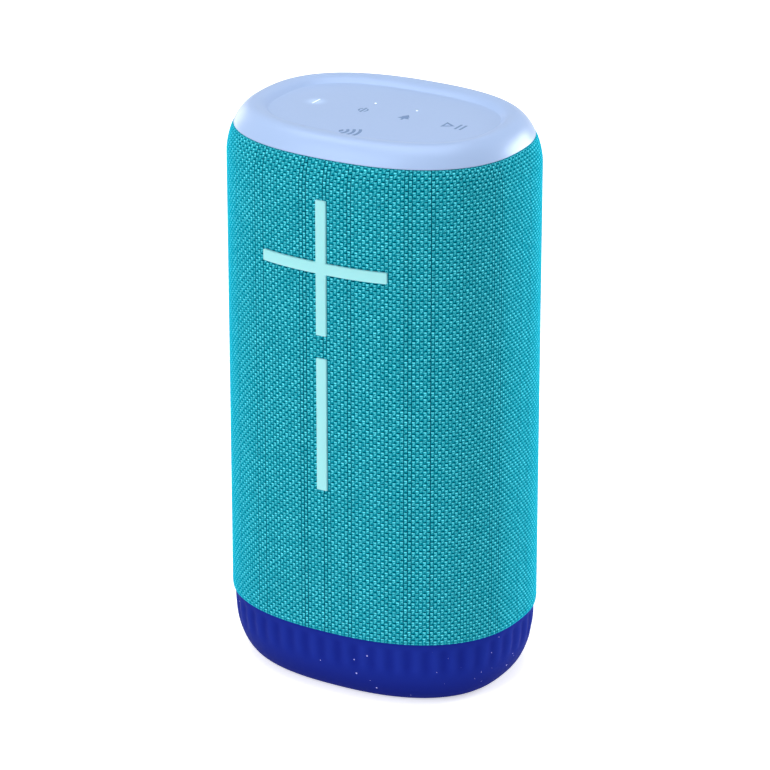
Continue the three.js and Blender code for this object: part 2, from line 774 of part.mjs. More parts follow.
for (const [side, direction] of Object.entries(SIDES_Y)) {
  const place = (geometry) =>
    facing(geometry.translate(0, 0, RADIATOR_SEAT), direction).translate(0, 0, RADIATOR_Z);
  addPart(`radiator_${side}_frame`, place(radiatorFrame()), MATERIALS.casing);
  addPart(`radiator_${side}_diaphragm`, place(radiatorDiaphragm()), MATERIALS.magnet);
  const surround = roll(DIAPHRAGM_RADIUS + GAP, DIAPHRAGM_RADIUS + 5.7, 0, 2, 0.8);
  addPart(`radiator_${side}_surround`, place(surround), MATERIALS.rubber);
}

// ---- battery ------------------------------------------------------------------------------

function cell(x) {
  const top = CELL_Z + CELL_LENGTH;
  return turned([
    [0, CELL_Z],
    [CELL_RADIUS, CELL_Z],
    [CELL_RADIUS, top],
    [3, top],
    [3, top + 1.2],
    [0, top + 1.2],
  ], 16).translate(x, 0, 0);
}

const CELL_X = [-CELL_PITCH, 0, CELL_PITCH];

function cellPlate(lowZ, highZ, pocketLowZ, pocketHighZ) {
  const halfX = CELL_PITCH + CELL_RADIUS + 2;
  const halfY = CELL_RADIUS + 2;
  const pockets = CELL_X.map((x) =>
    rod(x, 0, pocketLowZ, pocketHighZ, CELL_RADIUS + GAP),
  );
  return carve([box([-halfX, -halfY, lowZ], [halfX, halfY, highZ])], pockets);
}

CELL_X.forEach((x, i) => addPart(`battery_cell_${i + 1}`, cell(x), MATERIALS.cell));
const TRAY_LOW_Z = TUB_BOTTOM_Z + TUB_WALL + GAP;
const TRAY_TOP_Z = 45;
const CLIP_TOP_Z = CELL_Z + CELL_LENGTH + 3.2;
addPart(
  "battery_tray",
  cellPlate(TRAY_LOW_Z, TRAY_TOP_Z, CELL_Z - GAP, TRAY_TOP_Z + 5),
  MATERIALS.casing,
);
addPart(
  "battery_clip",
  cellPlate(CLIP_TOP_Z - 10, CLIP_TOP_Z, CLIP_TOP_Z - 12, CLIP_TOP_Z - 1.6),
  MATERIALS.casing,
);

// ---- boot, base plate and charge socket ---------------------------------------------------

const BOOT_LEVELS = [0, 0.5, 1.5, 3, 6, 10, 15, BASE_SEAM_Z - GAP];
const BOOT_FLOOR = 2.4;

function bootCup() {
  const outer = BOOT_LEVELS.map((z) => bodyRing(baseInset(z), z));
  const inner = [BASE_SEAM_Z - GAP, 15, 8, 5, BOOT_FLOOR].map((z) =>
    bodyRing(baseInset(z) + BOOT_WALL, z),
  );
  return loft([...outer, ...inner], true);
}

function doorPrism(grow) {
  const halfZ = (DOOR_HIGH_Z - DOOR_LOW_Z) / 2 + grow;
  const shape = roundedPlate(DOOR_WIDTH / 2 + grow, halfZ, DOOR_ROUNDING + grow);
  return prismY(shape, 30, 60, (DOOR_HIGH_Z + DOOR_LOW_Z) / 2);
}

addPart("base_boot", carve([bootCup()], [doorPrism(GAP)]), MATERIALS.boot);
addPart("port_door", common(bootCup(), doorPrism(0)), MATERIALS.boot);

function basePlate() {
  const skin = BOOT_WALL + GAP;
  const wall = 2;
  const floorZ = BOOT_FLOOR + GAP;
  const rimZ = TUB_BOTTOM_Z - 1.6;
  const ring = (z, depth) => bodyRing(baseInset(z) + depth, z, CORE_SIDES);
  const cup = loft(
    [
      ring(floorZ, skin + 0.4),
      ring(5, skin),
      ring(8, skin),
      ring(15, skin),
      ring(rimZ, skin),
      ring(rimZ, skin + wall),
      ring(15, skin + wall),
      ring(8, skin + wall),
      ring(floorZ + wall, skin + wall + 1),
    ],
    true,
  );
  const postRadius = 3.6;
  const recessRadius = 2.8;
  const rods = (lowZ, highZ, radius) =>
    BASE_SCREWS.map(([x, y]) => rod(x, y, lowZ, highZ, radius, PIN_SIDES));
  const posts = rods(floorZ + 1, TUB_BOTTOM_Z - GAP, postRadius);
  const recesses = rods(-1, TUB_BOTTOM_Z - 4, recessRadius);
  const bores = rods(0, TUB_BOTTOM_Z + 1, SCREW_RADIUS + GAP);
  const portNotch = box([-10, 30, SOCKET_Z - 5], [10, 50, SOCKET_Z + 5]);
  return carve([cup, ...posts], [...recesses, ...bores, portNotch]);
}

function chargeSocket() {
  const shell = prismY(roundedPlate(4.6, 1.7, 1.6), SOCKET_MOUTH_Y - SOCKET_DEPTH,
    SOCKET_MOUTH_Y, SOCKET_Z);
  const mouth = prismY(roundedPlate(4.2, 1.3, 1.2), SOCKET_MOUTH_Y - SOCKET_DEPTH + 1,
    SOCKET_MOUTH_Y + 1, SOCKET_Z);
  const tongue = box(
    [-3.3, SOCKET_MOUTH_Y - SOCKET_DEPTH + 0.5, SOCKET_Z - 0.35],
    [3.3, SOCKET_MOUTH_Y - 0.8, SOCKET_Z + 0.35],
  );
  return geometryOf(solid(shell).subtract(solid(mouth)).add(solid(tongue)));
}

function portBoard() {
  const top = SOCKET_Z - 1.7 - GAP;
  const plate = box([-13, 16, top - BOARD_THICKNESS], [13, SOCKET_MOUTH_Y - 3, top]);
  const chip = box([-4, 19, top - 0.1], [4, 25, top + 1.2]);
  const plug = box([6, 17, top - 0.1], [12, 21, top + 3]);
  return carve([plate, chip, plug]);
}

addPart("base_plate", basePlate(), MATERIALS.casing);
addPart("charge_socket", chargeSocket(), MATERIALS.steel);
addPart("port_board", portBoard(), MATERIALS.board);

// ---- screws -------------------------------------------------------------------------------

// A pan-head screw standing on its tip, with a cross recess left to its finish.
function screw(length) {
  return turned([
    [0, 0],
    [SCREW_RADIUS, 1],
    [SCREW_RADIUS, length],
    [SCREW_HEAD_RADIUS, length],
    [SCREW_HEAD_RADIUS * 0.8, length + SCREW_HEAD],
    [0, length + SCREW_HEAD],
  ], PIN_SIDES);
}

const LID_SCREW_LENGTH = 12;
const LID_TOP_Z = LID_Z + LID_THICKNESS;
LID_SCREWS.forEach(([x, y], i) => {
  const tipZ = LID_TOP_Z + GAP - LID_SCREW_LENGTH;
  addPart(`lid_screw_${i + 1}`, screw(LID_SCREW_LENGTH).translate(x, y, tipZ), MATERIALS.steel);
});

const BASE_SCREW_LENGTH = 8.5;
BASE_SCREWS.forEach(([x, y], i) => {
  const headZ = TUB_BOTTOM_Z - 4 - GAP;
  const upward = screw(BASE_SCREW_LENGTH).rotateX(Math.PI);
  addPart(
    `base_screw_${i + 1}`,
    upward.translate(x, y, headZ + BASE_SCREW_LENGTH),
    MATERIALS.steel,
  );
});

export default speaker;
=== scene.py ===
# %% [markdown]
# # A portable wireless speaker, finished in Blender
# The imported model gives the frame: every body, node and joint axis of the real assembly. This
# file puts the looks on it. The visible skins are modelled again with finer meshes, and every
# node that stays gets a finish of its own. Lengths are metres, +Z is up and the front is -Y.

# %% Load the frame
import bmesh
import bpy
import json
import math
import numpy as np
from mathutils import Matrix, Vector


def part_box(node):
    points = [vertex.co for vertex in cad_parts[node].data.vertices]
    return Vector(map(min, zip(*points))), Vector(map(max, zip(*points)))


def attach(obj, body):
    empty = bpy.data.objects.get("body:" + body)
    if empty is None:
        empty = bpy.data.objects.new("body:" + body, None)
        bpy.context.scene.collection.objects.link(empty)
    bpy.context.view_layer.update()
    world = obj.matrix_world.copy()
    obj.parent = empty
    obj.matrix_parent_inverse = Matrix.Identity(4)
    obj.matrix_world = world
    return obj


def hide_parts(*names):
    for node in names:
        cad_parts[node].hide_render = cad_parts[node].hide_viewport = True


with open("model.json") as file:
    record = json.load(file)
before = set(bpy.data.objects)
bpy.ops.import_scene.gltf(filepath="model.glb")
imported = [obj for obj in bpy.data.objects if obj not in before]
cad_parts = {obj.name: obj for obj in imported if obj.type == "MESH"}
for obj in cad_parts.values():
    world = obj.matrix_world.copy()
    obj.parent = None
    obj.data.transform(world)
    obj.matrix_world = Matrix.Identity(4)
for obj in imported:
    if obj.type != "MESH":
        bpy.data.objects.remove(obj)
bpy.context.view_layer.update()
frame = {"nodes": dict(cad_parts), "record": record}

nodes = frame["nodes"]

# %% [markdown]
# The overall sizes are read from the frame. It gives only each node's box, so the curves of the
# plan, the shoulder, the dish and the boot are written out again where they are needed. The plan
# of the body is a superellipse, rounder than a rectangle and squarer than an ellipse.

# %% Sizes from the frame
MM = 0.001
SLEEVE_LOW, SLEEVE_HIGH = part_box("fabric_sleeve")
CAP_LOW, CAP_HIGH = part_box("top_cap")
BOOT_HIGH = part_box("base_boot")[1]
KEY_LOW, KEY_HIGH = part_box("key_play")
PLUS_LOW, PLUS_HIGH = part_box("key_volume_up")
MINUS_LOW, MINUS_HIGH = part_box("key_volume_down")
DOOR_LOW, DOOR_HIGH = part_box("port_door")

HALF_X = SLEEVE_HIGH.x
HALF_Y = SLEEVE_HIGH.y
PLAN_POWER = 2.37
HEIGHT = CAP_HIGH.z
CAP_SEAM_Z = CAP_LOW.z
DISH_FLOOR_Z = KEY_HIGH.z
KEY_RADIUS = (KEY_HIGH.x - KEY_LOW.x) / 2
HAIRLINE = 0.012 * MM
print(f"body {2000 * HALF_X:.1f} x {2000 * HALF_Y:.1f} x {1000 * HEIGHT:.1f} mm")

# %% [markdown]
# ## Camera first
# A long lens keeps the upright sides nearly parallel. The speaker is seen from a little above,
# turned so that its front and its right side both show.

# %% Camera
TARGET = Vector((0, 0, 107.3 * MM))
CAMERA_AZIMUTH = math.radians(29.95)
CAMERA_ELEVATION = math.radians(21.97)
CAMERA_DISTANCE = 1.4915
LENS = 191.4
SENSOR_WIDTH = 36
SHIFT_X = 0.00123
SHIFT_Y = -0.00155


def direction(azimuth, elevation):
    """A unit vector from the target towards a point at that azimuth and elevation."""
    level = math.cos(elevation)
    return Vector((math.sin(azimuth) * level, -math.cos(azimuth) * level, math.sin(elevation)))


def aimed(kind, name, azimuth, elevation, distance, target=TARGET):
    """Adds a camera or a light that looks at the target from that direction."""
    place = target + direction(azimuth, elevation) * distance
    if kind == "CAMERA":
        bpy.ops.object.camera_add(location=place)
    else:
        bpy.ops.object.light_add(type=kind, location=place)
    thing = bpy.context.object
    thing.name = name
    thing.rotation_euler = (target - place).to_track_quat("-Z", "Y").to_euler()
    return thing


camera = aimed("CAMERA", "camera", CAMERA_AZIMUTH, CAMERA_ELEVATION, CAMERA_DISTANCE)
camera.data.lens = LENS
camera.data.sensor_width = SENSOR_WIDTH
camera.data.shift_x = SHIFT_X
camera.data.shift_y = SHIFT_Y
bpy.context.scene.camera = camera
print("camera at", [round(v, 3) for v in camera.location])

# %% [markdown]
# ## Studio
# Soft light comes from everywhere, as in a white tent: a bright surround, a pale floor, and a
# few large panels. The side panels sit behind the speaker, so its edges catch a brighter rim,
# and a small high panel on the left gives the slope of the dish its highlight.

# %% Studio
bpy.context.scene.view_settings.view_transform = "Standard"
SURROUND_STRENGTH = 0.44
world = bpy.data.worlds.new("studio_surround")
world.use_nodes = True
world.node_tree.nodes["Background"].inputs["Color"].default_value = (1, 1, 1, 1)
world.node_tree.nodes["Background"].inputs["Strength"].default_value = SURROUND_STRENGTH
bpy.context.scene.world = world

PANELS = {
    # name: azimuth, elevation in degrees, distance, size, power
    "top_panel": (30, 86, 0.9, 0.65, 3.9),
    "front_panel": (-20, 35, 1.3, 0.9, 6.5),
    "high_left_panel": (-80, 62, 0.9, 0.24, 0.75),
    "left_panel": (-116, 10, 0.9, 0.35, 0.85),
    "right_back_panel": (148, 12, 0.9, 0.4, 5.0),
}
for panel_name, (azimuth, elevation, distance, size, power) in PANELS.items():
    panel = aimed(
        "AREA", panel_name, math.radians(azimuth), math.radians(elevation), distance
    )
    panel.data.shape = "SQUARE"
    panel.data.size = size
    panel.data.energy = power
print("panels:", list(PANELS))

# %% [markdown]
# ## Hand tools
# A few short helpers keep the modelling cells readable. Each new piece starts from a primitive,
# so everything that is already selected is let go first.

# %% Helpers for objects
def colour(red, green, blue):
    """A screen colour of 0 to 255 as the linear colour that a shader socket takes."""
    channels = [value / 255 for value in (red, green, blue)]
    linear = [c / 12.92 if c <= 0.04045 else ((c + 0.055) / 1.055) ** 2.4 for c in channels]
    return (*linear, 1.0)


def let_go():
    bpy.ops.object.select_all(action="DESELECT")


def pick(piece):
    let_go()
    piece.select_set(True)
    bpy.context.view_layer.objects.active = piece


def positions(piece):
    points = np.empty(len(piece.data.vertices) * 3)
    piece.data.vertices.foreach_get("co", points)
    return points.reshape(-1, 3)


def move_points(piece, points):
    piece.data.vertices.foreach_set("co", np.asarray(points, float).ravel())
    piece.data.update()


def place_in_mesh(piece):
    """Applies the object's place to its mesh, so the object itself sits at the origin."""
    pick(piece)
    bpy.ops.object.transform_apply(location=True, rotation=True, scale=True)


def merge_and_face_out(piece, distance=1e-6):
    """Merges doubled points and turns the whole closed skin to face outwards."""
    pick(piece)
    bpy.ops.object.mode_set(mode="EDIT")
    bpy.ops.mesh.select_all(action="SELECT")
    bpy.ops.mesh.remove_doubles(threshold=distance)
    bpy.ops.mesh.normals_make_consistent(inside=False)
    bpy.ops.object.mode_set(mode="OBJECT")
    shape = bmesh.new()
    shape.from_mesh(piece.data)
    if shape.calc_volume(signed=True) < 0:
        bmesh.ops.reverse_faces(shape, faces=shape.faces)
        shape.to_mesh(piece.data)
    shape.free()


def smooth(piece, degrees=35):
    pick(piece)
    bpy.ops.object.shade_smooth_by_angle(angle=math.radians(degrees))


def apply_modifier(piece, kind, **settings):
    pick(piece)
    modifier = piece.modifiers.new(kind.lower(), kind)
    for name, value in settings.items():
        setattr(modifier, name, value)
    bpy.ops.object.modifier_apply(modifier=modifier.name)


def finish_piece(piece, finish, body, slot, *replaced):
    """Gives a piece its finish and its body, and hides the nodes that it stands for. The slot
    argument is not used.
    """
    piece.data.materials.clear()
    piece.data.materials.append(finish)
    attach(piece, body)
    if replaced:
        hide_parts(*replaced)
    print(f"{piece.name}: {len(piece.data.polygons)} faces, on {body}")


# %% [markdown]
# The skins are all wrapped on one plan. Points are spaced evenly along its outline, because
# threads and flutes are evenly spaced on the real one, and each point keeps its outward
# direction so that a skin can be set in by an exact distance.

# %% The body's plan
def body_outline(count, pitch=None, fine=20000):
    """Points spaced round the plan from the rear, and their outward directions.

    They are evenly spaced, unless pitch gives a relative spacing for each (x, y)."""
    angle = np.linspace(0.5 * np.pi, 2.5 * np.pi, fine + 1)
    c, s = np.cos(angle), np.sin(angle)
    x = np.sign(c) * np.abs(c) ** (2 / PLAN_POWER) * HALF_X
    y = np.sign(s) * np.abs(s) ** (2 / PLAN_POWER) * HALF_Y
    steps = np.hypot(np.diff(x), np.diff(y))
    length = steps.sum()
    if pitch:
        steps = steps / pitch((x[1:] + x[:-1]) / 2, (y[1:] + y[:-1]) / 2)
    along = np.concatenate([[0], np.cumsum(steps)])
    stops = np.linspace(0, along[-1], count + 1)[:-1]
    x, y = np.interp(stops, along, x), np.interp(stops, along, y)
    out = np.stack(
        [
            np.sign(x) * (np.abs(x) / HALF_X) ** (PLAN_POWER - 1) / HALF_X,
            np.sign(y) * (np.abs(y) / HALF_Y) ** (PLAN_POWER - 1) / HALF_Y,
        ],
        axis=1,
    )
    out /= np.linalg.norm(out, axis=1)[:, None]
    return np.stack([x, y], axis=1), out, length


def front_depth(x):
    """How far the front face stands from the middle plane at each x."""
    return HALF_Y * (1 - (np.abs(x) / HALF_X) ** PLAN_POWER) ** (1 / PLAN_POWER)


SHOULDER_START_Z = HEIGHT - 17.5 * MM
CREST_INSET = 9.8 * MM
SHOULDER_POWER = 1.75


def shoulder_inset(z):
    share = np.clip((z - SHOULDER_START_Z) / (HEIGHT - SHOULDER_START_Z), 0, 1)
    return CREST_INSET * (1 - (1 - share**SHOULDER_POWER) ** (1 / SHOULDER_POWER))


BASE_TOP_INSET = 0.95 * MM
BASE_CURVE_HEIGHT = 20.5 * MM
BASE_CURVE_INSET = 9.4 * MM
BASE_POWER = 1.8


def base_inset(z):
    share = np.clip(1 - z / BASE_CURVE_HEIGHT, 0, 1)
    return BASE_TOP_INSET + BASE_CURVE_INSET * (1 - (1 - share**BASE_POWER) ** (1 / BASE_POWER))


PERIMETER = body_outline(8)[2]
print(f"the plan is {1000 * PERIMETER:.0f} mm round")

# %% [markdown]
# A flat grid is rolled up into each skin, as a cutter would draw it flat. One way of the grid
# runs round the body, the other way follows a path of heights and depths: up the outside, over
# the rim and down the inside. The grid's own map survives the rolling and carries the weave.

# %% Rolling a grid into a skin
def rolled_skin(name, count, path, shape, pitch=None):
    """Rolls a grid of count columns along a path of (z, inset) stops. shape may move the points."""
    let_go()
    bpy.ops.mesh.primitive_grid_add(x_subdivisions=count, y_subdivisions=len(path) - 1, size=2)
    piece = bpy.context.object
    piece.name = name
    piece.data.name = name
    flat = positions(piece)
    column = np.rint((flat[:, 0] + 1) / 2 * count).astype(int)
    stop = np.rint((flat[:, 1] + 1) / 2 * (len(path) - 1)).astype(int)
    plan, out, _ = body_outline(count, pitch)
    heights, insets = np.array(path).T
    points = shape(column, stop, plan[column % count], out[column % count],
                   heights[stop], insets[stop])
    move_points(piece, points)
    merge_and_face_out(piece)
    return piece


# %% [markdown]
# ## Finishes
# Every finish is made of nodes. Colours and numbers that are the same all over sit on the
# shader's own sockets, and only what varies over the surface is linked.

# %% Helpers for finishes
class Finish:
    """A material with a Principled shader, and short ways to add nodes to it."""

    def __init__(self, name, base, roughness, **sockets):
        self.material = bpy.data.materials.new(name)
        self.material.use_nodes = True
        self.tree = self.material.node_tree
        self.shader = self.tree.nodes["Principled BSDF"]
        self.shader.inputs["Base Color"].default_value = base
        self.shader.inputs["Roughness"].default_value = roughness
        for socket, value in sockets.items():
            self.shader.inputs[socket.replace("_", " ")].default_value = value

    def node(self, kind, inputs=(), **settings):
        """Adds a node; inputs maps a socket's name or number to a value or to another output."""
        made = self.tree.nodes.new(kind)
        for name, value in settings.items():
            setattr(made, name, value)
        for socket, value in dict(inputs).items():
            if isinstance(value, bpy.types.NodeSocket):
                self.tree.links.new(value, made.inputs[socket])
            else:
                made.inputs[socket].default_value = value
        return made

    def sum(self, operation, *values, clamp=False):
        made = self.node("ShaderNodeMath", dict(enumerate(values)), operation=operation,
                         use_clamp=clamp)
        return made.outputs[0]

    def place(self):
        return self.node("ShaderNodeTexCoord").outputs["Object"]

    def noise(self, scale, detail=3.0, vector=None, roughness=0.5):
        where = self.place() if vector is None else vector
        made = self.node(
            "ShaderNodeTexNoise",
            {"Vector": where, "Scale": scale, "Detail": detail, "Roughness": roughness},
        )
        return made.outputs["Fac"]

    def spread(self, value, low, high, to_low=0.0, to_high=1.0, smooth_step=False):
        """Maps a value from one range to another."""
        made = self.node(
            "ShaderNodeMapRange",
            {0: value, 1: low, 2: high, 3: to_low, 4: to_high},
            interpolation_type="SMOOTHSTEP" if smooth_step else "LINEAR",
        )
        return made.outputs[0]

    def mix(self, share, first, second, blend="MIX"):
        made = self.node(
            "ShaderNodeMix",
            {0: share, 6: first, 7: second},
            data_type="RGBA",
            blend_type=blend,
        )
        return made.outputs[2]

    def to(self, socket, value):
        self.tree.links.new(value, self.shader.inputs[socket])

    def bump(self, height, strength, distance):
        made = self.node(
            "ShaderNodeBump", {"Height": height, "Strength": strength, "Distance": distance}
        )
        self.to("Normal", made.outputs["Normal"])


# %% [markdown]
# ### Soft-touch silicone
# The cap is moulded silicone with a satin skin. A very fine grain breaks its gloss, and the
# colour drifts a little, as it does in a thick translucent moulding.

SATIN = (0.29, 0.35)


def soft_silicone(name, base, tint):
    finish = Finish(name, base, 0.32, Specular_IOR_Level=0.66,
                    Specular_Tint=colour(200, 220, 255))
    drift = finish.spread(finish.noise(18, 2), 0.35, 0.65, 0.0, 0.5)
    finish.to("Base Color", finish.mix(drift, base, tint))
    finish.to("Roughness", finish.spread(finish.noise(900, 2), 0.3, 0.7, *SATIN))
    finish.bump(finish.noise(420, 1), 0.1, 0.05 * MM)
    return finish


CAP_BASE, CAP_TINT = colour(161, 184, 222), colour(158, 182, 220)
CAP_FINISH = soft_silicone("cap_silicone", CAP_BASE, CAP_TINT)
print("made", CAP_FINISH.material.name)

# %% [markdown]
# ### Plain weave, with painted highlights and shade
# Upright threads ride over and under the level ones, and each thread's raised length is half a
# step out from its neighbours'. The map that came with the rolled grid counts the threads: one
# unit across is the whole way round and one unit up is the whole path. Two turns of the yarn
# on each raised length carry a painted highlight, and painted shade makes it nearly black-teal
# where it dives under. The grooves between threads carry painted shade, darker in some than in
# others, because some threads are pulled tighter.

# %% Weave finish
WEAVE_COLUMNS = 260
WEAVE_ROW = 1.258 * MM


# the painted highlights sit on these turns of the yarn
BROAD_TURN, NARROW_TURN = 0.78, 0.44  # where along a raised length a turn catches the light
NARROW_SLANT, NARROW_SHARE = 0.3, 0.8  # how far the narrow turn slants, and how bright it is
GROOVE_START = 0.34  # how far from a thread's middle its groove starts
HOLE_TILT = 0.08
TENSION_SCALE = 0.31  # how quickly the pull changes from thread to thread


def near(finish, value, centre, reach, core):
    """One where the value is close to the centre, falling smoothly to nothing at the reach."""
    distance = finish.sum("ABSOLUTE", finish.sum("SUBTRACT", value, centre))
    return finish.spread(distance, reach, core, smooth_step=True)


def woven_finish(columns, rows):
    # the darkest colour is the darkest fibres and the painted shade in holes and gaps, the next is
    # painted shade in the grooves, then the cloth's own teal, and the palest is both the palest
    # fibres and the painted highlights
    dark_fibre_and_shade, groove_shade, mid, pale = (colour(0, 34, 56), colour(0, 98, 118), colour(2, 131, 148),
                            colour(98, 228, 244))
    finish = Finish("woven_sleeve", mid, 0.6, Sheen_Weight=0.9, Sheen_Roughness=0.42,
                    Sheen_Tint=colour(0, 215, 255), Specular_IOR_Level=0.0)
    chart = finish.node("ShaderNodeUVMap", uv_map="UVMap").outputs[0]
    parts = finish.node("ShaderNodeSeparateXYZ", {0: chart})
    across = finish.sum("MULTIPLY", parts.outputs[0], float(columns))
    up = finish.sum("MULTIPLY", parts.outputs[1], float(rows))
    column = finish.sum("ROUND", across)
    off_centre = finish.sum("SUBTRACT", across, column)
    step = finish.sum("MULTIPLY", finish.sum("ADD", up, column), 0.5)
    length = finish.sum("FRACT", step)
    dash = finish.sum("FLOOR", step)
    # each raised length's painted highlight has its own random strength
    cell = finish.node("ShaderNodeCombineXYZ", {0: column, 1: dash})
    own = finish.node("ShaderNodeTexWhiteNoise", {"Vector": cell.outputs[0]},
                      noise_dimensions="2D").outputs["Value"]
    # painted highlights on two turns of the yarn: a broad one, and a slanting one below
    broad = finish.sum("MULTIPLY", near(finish, length, BROAD_TURN, 0.15, 0.03),
                       near(finish, off_centre, -0.03, 0.5, 0.25))
    slanted = finish.sum("SUBTRACT", length,
                         finish.sum("MULTIPLY", off_centre, NARROW_SLANT))
    narrow = finish.sum("MULTIPLY", near(finish, slanted, NARROW_TURN, 0.14, 0.02),
                        near(finish, off_centre, 0.07, 0.45, 0.1))
    turns = finish.sum("MAXIMUM", broad, finish.sum("MULTIPLY", narrow, NARROW_SHARE))
    highlight_share = finish.sum("MULTIPLY", turns, finish.spread(own, 0, 1, 0.45, 1.05), clamp=True)
    body = finish.mix(highlight_share, mid, pale)
    # fine twisted filaments run along each thread
    strands = finish.node("ShaderNodeCombineXYZ", {
        0: finish.sum("MULTIPLY", across, 3.3), 1: finish.sum("MULTIPLY", up, 1.6)})
    filament = finish.noise(1.0, 2, strands.outputs[0])
    body = finish.mix(finish.spread(filament, 0.5, 0.72, 0.0, 0.4), body, pale)
    body = finish.mix(finish.spread(filament, 0.5, 0.28, 0.0, 0.5), body, dark_fibre_and_shade)
    # painted shade: a little in the shallow grooves between threads, and most in the holes where
    # they dive
    side = finish.sum("ABSOLUTE", off_centre)
    groove = finish.spread(side, GROOVE_START, 0.49, 0.0, 0.8, smooth_step=True)
    body = finish.mix(groove, body, groove_shade)
    # painted shade, darker in some grooves than in others
    seam = finish.sum("FLOOR", finish.sum("ADD", across, 100.0))
    per_seam = finish.node("ShaderNodeCombineXYZ", {0: seam}).outputs[0]
    tension = finish.noise(TENSION_SCALE, 1, per_seam)
    gap_shade = finish.sum("MULTIPLY", finish.spread(side, GROOVE_START, 0.45, smooth_step=True),
                     finish.spread(tension, 0.5, 0.6, 0.0, 0.95))
    body = finish.mix(gap_shade, body, dark_fibre_and_shade)
    # painted shade in the holes where the threads dive
    tilted = finish.sum("FRACT", finish.sum(
        "SUBTRACT", step, finish.sum("MULTIPLY", off_centre, HOLE_TILT)))
    end = finish.sum("MINIMUM", tilted, finish.sum("SUBTRACT", 1.0, tilted))
    hole = finish.sum("MULTIPLY", finish.spread(end, 0.11, 0.03, smooth_step=True),
                      finish.spread(off_centre, -0.45, -0.12, 0.15, 1.0, smooth_step=True))
    finish.to("Base Color", finish.mix(hole, body, dark_fibre_and_shade))
    # the thread's round back across its width, and its rise and dive along its length
    width_angle = finish.sum("MULTIPLY", off_centre, math.pi)
    round_back = finish.sum("POWER", finish.sum("COSINE", width_angle), 0.6)
    rise = finish.sum("SINE", finish.sum("MULTIPLY", length, math.pi))
    height = finish.sum("MULTIPLY", round_back, rise)
    relief = finish.sum("ADD", height, finish.sum("MULTIPLY", filament, 0.25))
    finish.bump(relief, 0.4, 0.2 * MM)
    return finish


# %% [markdown]
# ### Speckled rubber
# The boot is moulded from rubber with chopped pale flecks in it. A sparse cell pattern gives
# the flecks: some of the cells hold one, and only near the cell's middle. The boot's own map
# counts its flutes, so painted shade makes the valleys a little darker than the crests, and
# more painted shade darkens the boot towards its foot.

# %% Boot finish
FLUTES = 48
FLUTE_PHASE = 0.24
COLUMNS_PER_FLUTE = 8
FLUTE_LOW = 10.5 * MM
FLUTE_HIGH = 24.8 * MM
FLUTE_FADE = 6 * MM


def speckled_rubber():
    # the first colour lies in the flute valleys and the second on the crests, so painted shade
    # darkens the valleys
    base, tint = colour(20, 34, 126), colour(28, 45, 141)
    finish = Finish("speckled_boot", base, 0.6, Specular_IOR_Level=0.01)
    cells = finish.node(
        "ShaderNodeTexVoronoi", {"Vector": finish.place(), "Scale": 290.0, "Randomness": 1.0}
    )
    own = finish.node("ShaderNodeSeparateColor", {0: cells.outputs["Color"]})
    chosen = finish.sum("GREATER_THAN", own.outputs[0], 0.2)
    reach = finish.spread(finish.sum("POWER", own.outputs[1], 2.5), 0, 1, 0.035, 0.095)
    fleck = finish.sum("MULTIPLY", chosen,
                       finish.sum("LESS_THAN", cells.outputs["Distance"], reach))
    # painted shade: a wave across the flutes, with a random drift, darkens the valleys and lightens
    # the crests
    chart = finish.node("ShaderNodeUVMap", uv_map="UVMap").outputs[0]
    around = finish.node("ShaderNodeSeparateXYZ", {0: chart}).outputs[0]
    turns = finish.sum("ADD", finish.sum("MULTIPLY", around, float(FLUTES)), FLUTE_PHASE)
    flute = finish.sum("COSINE", finish.sum("MULTIPLY", turns, 2 * math.pi))
    high = finish.node("ShaderNodeSeparateXYZ", {0: finish.place()}).outputs[2]
    band = finish.sum(
        "MULTIPLY",
        finish.spread(high, FLUTE_LOW, FLUTE_LOW + FLUTE_FADE, smooth_step=True),
        finish.spread(high, FLUTE_HIGH, FLUTE_HIGH - FLUTE_FADE / 2, smooth_step=True),
    )
    drift = finish.spread(finish.noise(60, 3), 0.3, 0.7, -0.3, 0.3)
    valley_shade = finish.sum("MULTIPLY", finish.sum("ADD", flute, drift), band)
    crest = finish.spread(valley_shade, 1.2, -1.2)
    ground = finish.mix(crest, base, tint)
    # painted shade: the colour darkens towards the bottom of the boot, where it curves under
    foot = finish.spread(high, 3 * MM, 15 * MM, 0.55, 0.0, smooth_step=True)
    ground = finish.mix(foot, ground, colour(14, 20, 96))
    finish.to("Base Color", finish.mix(fleck, ground, colour(186, 184, 250)))
    finish.to("Roughness", finish.spread(finish.noise(700, 2), 0.3, 0.7, 0.48, 0.62))
    finish.bump(finish.noise(3800, 2), 0.15, 0.03 * MM)
    return finish


BOOT_FINISH = speckled_rubber()

# %% [markdown]
# ### Marks, prints and lights
# The volume marks are pale matte rubber. The key symbols are printed in a grey-blue ink. The
# status lights shine softly.

# %% Small finishes
def mark_rubber():
    finish = Finish("mark_rubber", colour(146, 213, 217), 0.5, Subsurface_Weight=0.1,
                    Subsurface_Scale=1 * MM)
    finish.bump(finish.noise(4200, 2), 0.15, 0.02 * MM)
    return finish


def printed_ink():
    finish = Finish("symbol_ink", colour(112, 138, 178), 0.5, Specular_IOR_Level=0.2)
    finish.to("Roughness", finish.spread(finish.noise(2600, 2), 0.3, 0.7, 0.42, 0.6))
    return finish


def lamp(name, strength):
    return Finish(name, colour(250, 253, 255), 0.3, Emission_Color=colour(235, 246, 255),
                  Emission_Strength=strength)


MARK_FINISH = mark_rubber()
INK_FINISH = printed_ink()
STATUS_LIGHT = lamp("status_light", 0.7)
POWER_LIGHT = lamp("power_light_glow", 0.45)

# %% [markdown]
# ## Floor
# A pale sheet, much larger than the speaker, carries only its soft shadow.

